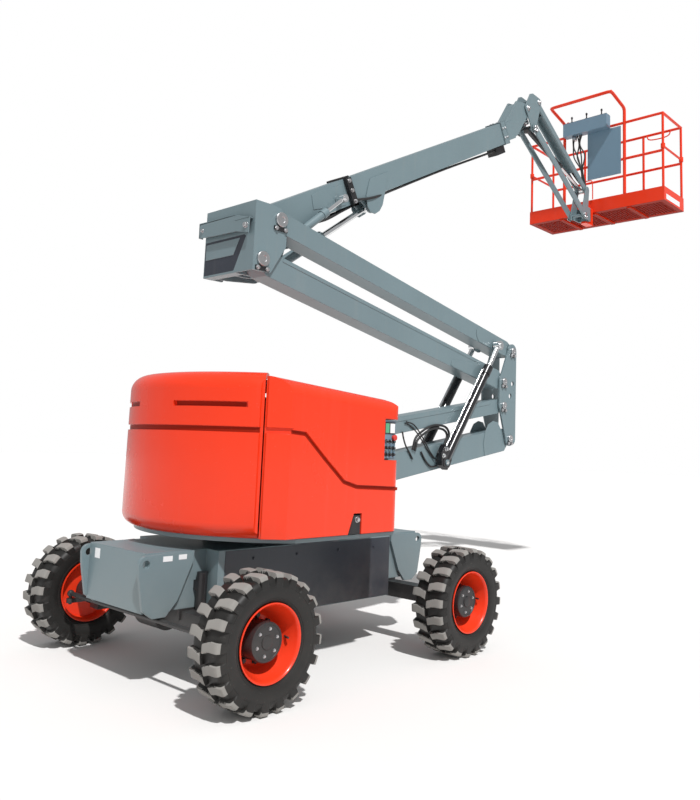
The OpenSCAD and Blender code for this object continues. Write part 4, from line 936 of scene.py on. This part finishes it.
class LIFT_OT_platform(bpy.types.Operator):
    """Make the platform's floor mesh, rail bends, console controls and hand loops"""

    bl_idname = "lift.platform"
    bl_label = "Platform"

    def execute(self, context):
        low, high = box_of("gate_right")
        rail = 0.017
        x0 = low[0] + 0.027
        x1 = high[0] - 0.027
        y0 = (low[1] + high[1]) / 2
        y1 = -y0 + 2 * 0.060
        top = box_of("console")[1][2] - 0.135
        bends = Piece("rail_bends", "platform", "body_orange")
        ball = np.linspace(-1.5, 1.5, 12)
        sphere = 1.02 * rail * np.stack([np.cos(ball), np.sin(ball)], -1)
        for x in (x0, x1):
            for y in (y0, y1):
                bends.turned(sphere, (x, y, top), (0, 0, 1), 24)
        bends.make(smooth=60)
        self.make_mesh(x0, x1, y0, y1, top - 1.098)
        self.make_hoop(top)
        self.make_console()
        self.make_fittings(context.scene.lift_trim.hose_radius)
        return {"FINISHED"}

    def make_fittings(self, radius):
        """Hand loop, guard bar, blank end plate and the hoses that hang below the console."""
        loops = Piece("platform_loops", "platform", "body_orange")
        x = PLATFORM_X
        hand = ((-420, 5742), (-440, 5690), (-500, 5668), (-640, 5664), (-715, 5684), (-740, 5742))
        guard = ((57, 4800), (58, 4960), (66, 5040), (90, 5056), (157, 5060))
        loops.hose(smooth_path([at(x + 585, y, z) for y, z in hand], 40), 0.008)
        loops.hose(smooth_path([at(x - 14, y, z) for y, z in guard], 30), 0.007)
        loops.make(smooth=60)
        ends = Piece("platform_end_plates", "platform", "card_white")
        ends.block(at(x + 60, -885.2, 4648), at(x + 480, -887, 4712))
        ends.block(at(x + 60, 1005.2, 4648), at(x + 480, 1007, 4712))
        ends.make()
        hoses = Piece("console_hoses", "platform", "hose_rubber", "bare_steel")
        for k, y in enumerate((330, 300, 262, 228, 200)):
            sway = 26 * math.sin(2.1 * k)
            path = ((x - 44, y, 5705), (x - 52 - 6 * k, y - 12 + sway, 5560), (x - 60, y - 30 - sway, 5400),
                    (x - 58, 205 - 6 * k, 5220), (x - 50, 190 - 9 * k, 5060), (x - 40, 165 - 9 * k, 4900))
            hoses.hose(smooth_path([at(*spot) for spot in path], 50), radius * 0.8)
        hoses.turned([(0.03, 0), (0.03, 0.05), (0.022, 0.06)], at(x - 48, 300, 5640), (0, 0, 1), 24, slot=1)
        hoses.make(smooth=60)

    def make_mesh(self, x0, x1, y0, y1, floor):
        """Open floor bars below the deck plate, and the ribs that carry it, in the darkened orange of painted
        shade.
        """
        # Painted shade: the bars and ribs take the darkened orange, for the shade under the platform
        bars = Piece("floor_mesh", "platform", "orange_painted_shade")
        for x in np.linspace(x0 + 0.06, x1 - 0.06, 13):
            bars.block((x - 0.004, y0 + 0.05, floor - 0.022), (x + 0.004, y1 - 0.05, floor - 0.006))
        for y in np.linspace(y0 + 0.06, y1 - 0.06, 46):
            bars.block((x0 + 0.05, y - 0.004, floor - 0.023), (x1 - 0.05, y + 0.004, floor - 0.0065))
        x, low = PLATFORM_X, floor * 1000
        for a, b, c, d in ((0, 60, -885, 1005), (560, 620, -885, 1005), (60, 560, -885, -825),
                           (60, 560, 945, 1005)):
            bars.block(at(x + a, c, low - 25.5), at(x + b, d, low - 24.2))
        for y in (-412.5, 60, 532.5):
            bars.block(at(x + 30, y - 25, low - 41.5), at(x + 590, y + 25, low - 40.2))
        bars.make()

    def make_hoop(self, top):
        """Stout bent tube over the CAD guard hoop and its two posts."""
        hoop = Piece("guard_hoop", "platform", "body_orange")
        x, rail = PLATFORM_X + 19, top * 1000
        frame_points = [(x, -365.25, rail - 940), (x, -365.25, rail + 194), (x - 380, -365.25, rail + 284),
                        (x - 380, 485.25, rail + 284), (x, 485.25, rail + 194), (x, 485.25, rail - 940)]
        hoop.hose(rounded_path([at(*point) for point in frame_points], 0.05), 0.0205, 16)
        hoop.make(smooth=60)

    def make_console(self):
        low, high = box_of("console")
        parts = Piece("console_controls", "platform", "cylinder_black", "bare_steel", "knob_red",
                      "card_white")
        parts.block((low[0] + 0.006, low[1] + 0.15, high[2] - 0.001),
                    (high[0] - 0.006, high[1] - 0.006, high[2] + 0.006))
        stick = [(26, 0), (26, 6), (20, 16), (12, 26), (8, 30), (8, 62), (13, 70), (14, 88), (9, 96)]
        stop = [(14, 0), (14, 10), (20, 12), (20, 22), (14, 27)]
        for y in np.linspace(low[1] + 0.24, high[1] - 0.10, 3):
            spot = np.array([(low[0] + high[0]) / 2, y, high[2] + 0.006])
            parts.turned(np.array(stick) / 1000, spot, (0, 0, 1), 24)
        parts.turned(np.array(stop) / 1000, (low[0] + 0.05, high[1] - 0.05, high[2] + 0.006), (0, 0, 1), 28,
                     slot=2)
        parts.make(smooth=35)


class LIFT_OT_chassis(bpy.types.Operator):
    """Make the chassis's blank plates, side panels and bolts"""

    bl_idname = "lift.chassis"
    bl_label = "Chassis"

    def execute(self, context):
        plates = Piece("blank_plates", "base", "card_white")
        for x, z, w, h in ((-1170, 768, 66, 32), (-1060, 772, 58, 30)):
            plates.block(at(x, -356.2, z - h / 2), at(x + w, -357.5, z + h / 2))
        plates.block(at(-1277.2, 200, 778), at(-1278.5, 262, 716))
        plates.make()
        panels = Piece("side_panels", "base", "dark_navy", "bare_steel")
        for side, way in ((-1, NEAR), (1, FAR)):
            panels.block(at(-786, side * 460.2, 364), at(786, side * 463, 800))
            for x in (-560, -180, 220, 600):
                panels.bolt(at(x, side * 463, 740), way, 0.016, slot=0)
        panels.make(bevel=0.001)
        return {"FINISHED"}


class LIFT_OT_stage(bpy.types.Operator):
    """Place the floor, the light and the photograph's camera"""

    bl_idname = "lift.stage"
    bl_label = "Stage"

    def execute(self, context):
        settings = context.scene.lift_stage
        self.make_floor()
        self.make_world(context.scene, settings)
        self.make_lamps(settings)
        self.make_camera(context.scene, settings)
        context.scene.view_settings.view_transform = "Standard"
        return {"FINISHED"}

    def make_floor(self):
        """A wide flat sheet just under the tyres, white to the camera and pale to the light."""
        half = 60.0
        mesh = bpy.data.meshes.new("studio_floor")
        mesh.from_pydata([(-half, -half, 0), (half, -half, 0), (half, half, 0), (-half, half, 0)], [],
                         [(0, 1, 2, 3)])
        floor = bpy.data.objects.new("studio_floor", mesh)
        bpy.context.collection.objects.link(floor)
        material = bpy.data.materials.new("studio_floor")
        material.use_nodes = True
        shader = material.node_tree.nodes["Principled BSDF"]
        shader.inputs["Base Color"].default_value = (0.815, 0.80, 0.785, 1)
        shader.inputs["Roughness"].default_value = 0.9
        mesh.materials.append(material)

    def make_world(self, scene, settings):
        """White where the camera and glass look at it, and a plain even light elsewhere."""
        world = bpy.data.worlds.new("studio")
        scene.world = world
        world.use_nodes = True
        tree = world.node_tree
        sky = tree.nodes["Background"]
        sky.inputs["Color"].default_value = (0.97, 0.985, 1.0, 1)
        sky.inputs["Strength"].default_value = settings.sky_strength
        white = tree.nodes.new("ShaderNodeBackground")
        white.inputs["Strength"].default_value = 1.0
        white.inputs["Color"].default_value = (1, 1, 1, 1)
        rays = tree.nodes.new("ShaderNodeLightPath")
        seen = arithmetic(tree, "MAXIMUM", rays.outputs["Is Camera Ray"],
                          rays.outputs["Is Transmission Ray"])
        choose = tree.nodes.new("ShaderNodeMixShader")
        link(tree, seen, choose.inputs[0])
        link(tree, sky.outputs[0], choose.inputs[1])
        link(tree, white.outputs[0], choose.inputs[2])
        link(tree, choose.outputs[0], tree.nodes["World Output"].inputs["Surface"])

    def make_lamps(self, settings):
        """A broad key light from the camera's upper left, as the photograph's shadow shows it."""
        data = bpy.data.lights.new("key", "SUN")
        data.energy = settings.sun_strength
        data.angle = settings.sun_spread
        lamp = bpy.data.objects.new("key", data)
        bpy.context.collection.objects.link(lamp)
        lamp.location = (SLEW_X - 3, -6, 9)
        lamp.rotation_euler = Vector(settings.sun_way).to_track_quat("-Z", "Y").to_euler()

    def make_camera(self, scene, settings):
        """A pinhole camera from its place, yaw, pitch, roll, focal length and optical centre."""
        yaw, pitch, roll = settings.camera_turn
        forward = np.array([math.cos(pitch) * math.cos(yaw), math.cos(pitch) * math.sin(yaw),
                            math.sin(pitch)])
        level = np.array([math.sin(yaw), -math.cos(yaw), 0.0])
        down = np.cross(forward, level)
        right = math.cos(roll) * level + math.sin(roll) * down
        below = -math.sin(roll) * level + math.cos(roll) * down
        place = np.array(settings.camera_place) + [SLEW_X, 0, 0]
        data = bpy.data.cameras.new("photo_camera")
        width, height = 700, 800
        data.sensor_fit = "AUTO"
        data.sensor_width = 36.0
        data.lens = settings.focal_px / height * data.sensor_width
        data.shift_x = (width / 2 - settings.centre_px[0]) / height
        data.shift_y = (settings.centre_px[1] - height / 2) / height
        data.clip_end = 200.0
        camera = bpy.data.objects.new("photo_camera", data)
        bpy.context.collection.objects.link(camera)
        axes = np.column_stack([right, -below, -forward, place])
        camera.matrix_world = Matrix([*axes.tolist(), [0, 0, 0, 1]])
        scene.camera = camera


class LIFT_PT_panel(bpy.types.Panel):
    """Buttons for each group of pieces"""

    bl_label = "Boom lift"
    bl_idname = "LIFT_PT_panel"
    bl_space_type = "VIEW_3D"
    bl_region_type = "UI"
    bl_category = "Boom lift"

    def draw(self, context):
        for operator in OPERATORS:
            self.layout.operator(operator.bl_idname)


OPERATORS = (LIFT_OT_finishes, LIFT_OT_wheels, LIFT_OT_pins, LIFT_OT_riser, LIFT_OT_boom, LIFT_OT_jib,
             LIFT_OT_platform, LIFT_OT_turret, LIFT_OT_chassis, LIFT_OT_stage)
CLASSES = (LiftFinish, LiftWheel, LiftTrim, LiftStage, *OPERATORS, LIFT_PT_panel)


def register():
    for cls in CLASSES:
        bpy.utils.register_class(cls)
    bpy.types.Scene.lift_finish = bpy.props.PointerProperty(type=LiftFinish)
    bpy.types.Scene.lift_wheel = bpy.props.PointerProperty(type=LiftWheel)
    bpy.types.Scene.lift_trim = bpy.props.PointerProperty(type=LiftTrim)
    bpy.types.Scene.lift_stage = bpy.props.PointerProperty(type=LiftStage)


def unregister():
    del bpy.types.Scene.lift_stage
    del bpy.types.Scene.lift_trim
    del bpy.types.Scene.lift_wheel
    del bpy.types.Scene.lift_finish
    for cls in reversed(CLASSES):
        bpy.utils.unregister_class(cls)


def main():
    register()
    for operator in OPERATORS:
        group, name = operator.bl_idname.split(".")
        getattr(getattr(bpy.ops, group), name)()
    bpy.context.view_layer.update()


if __name__ == "__main__":
    main()
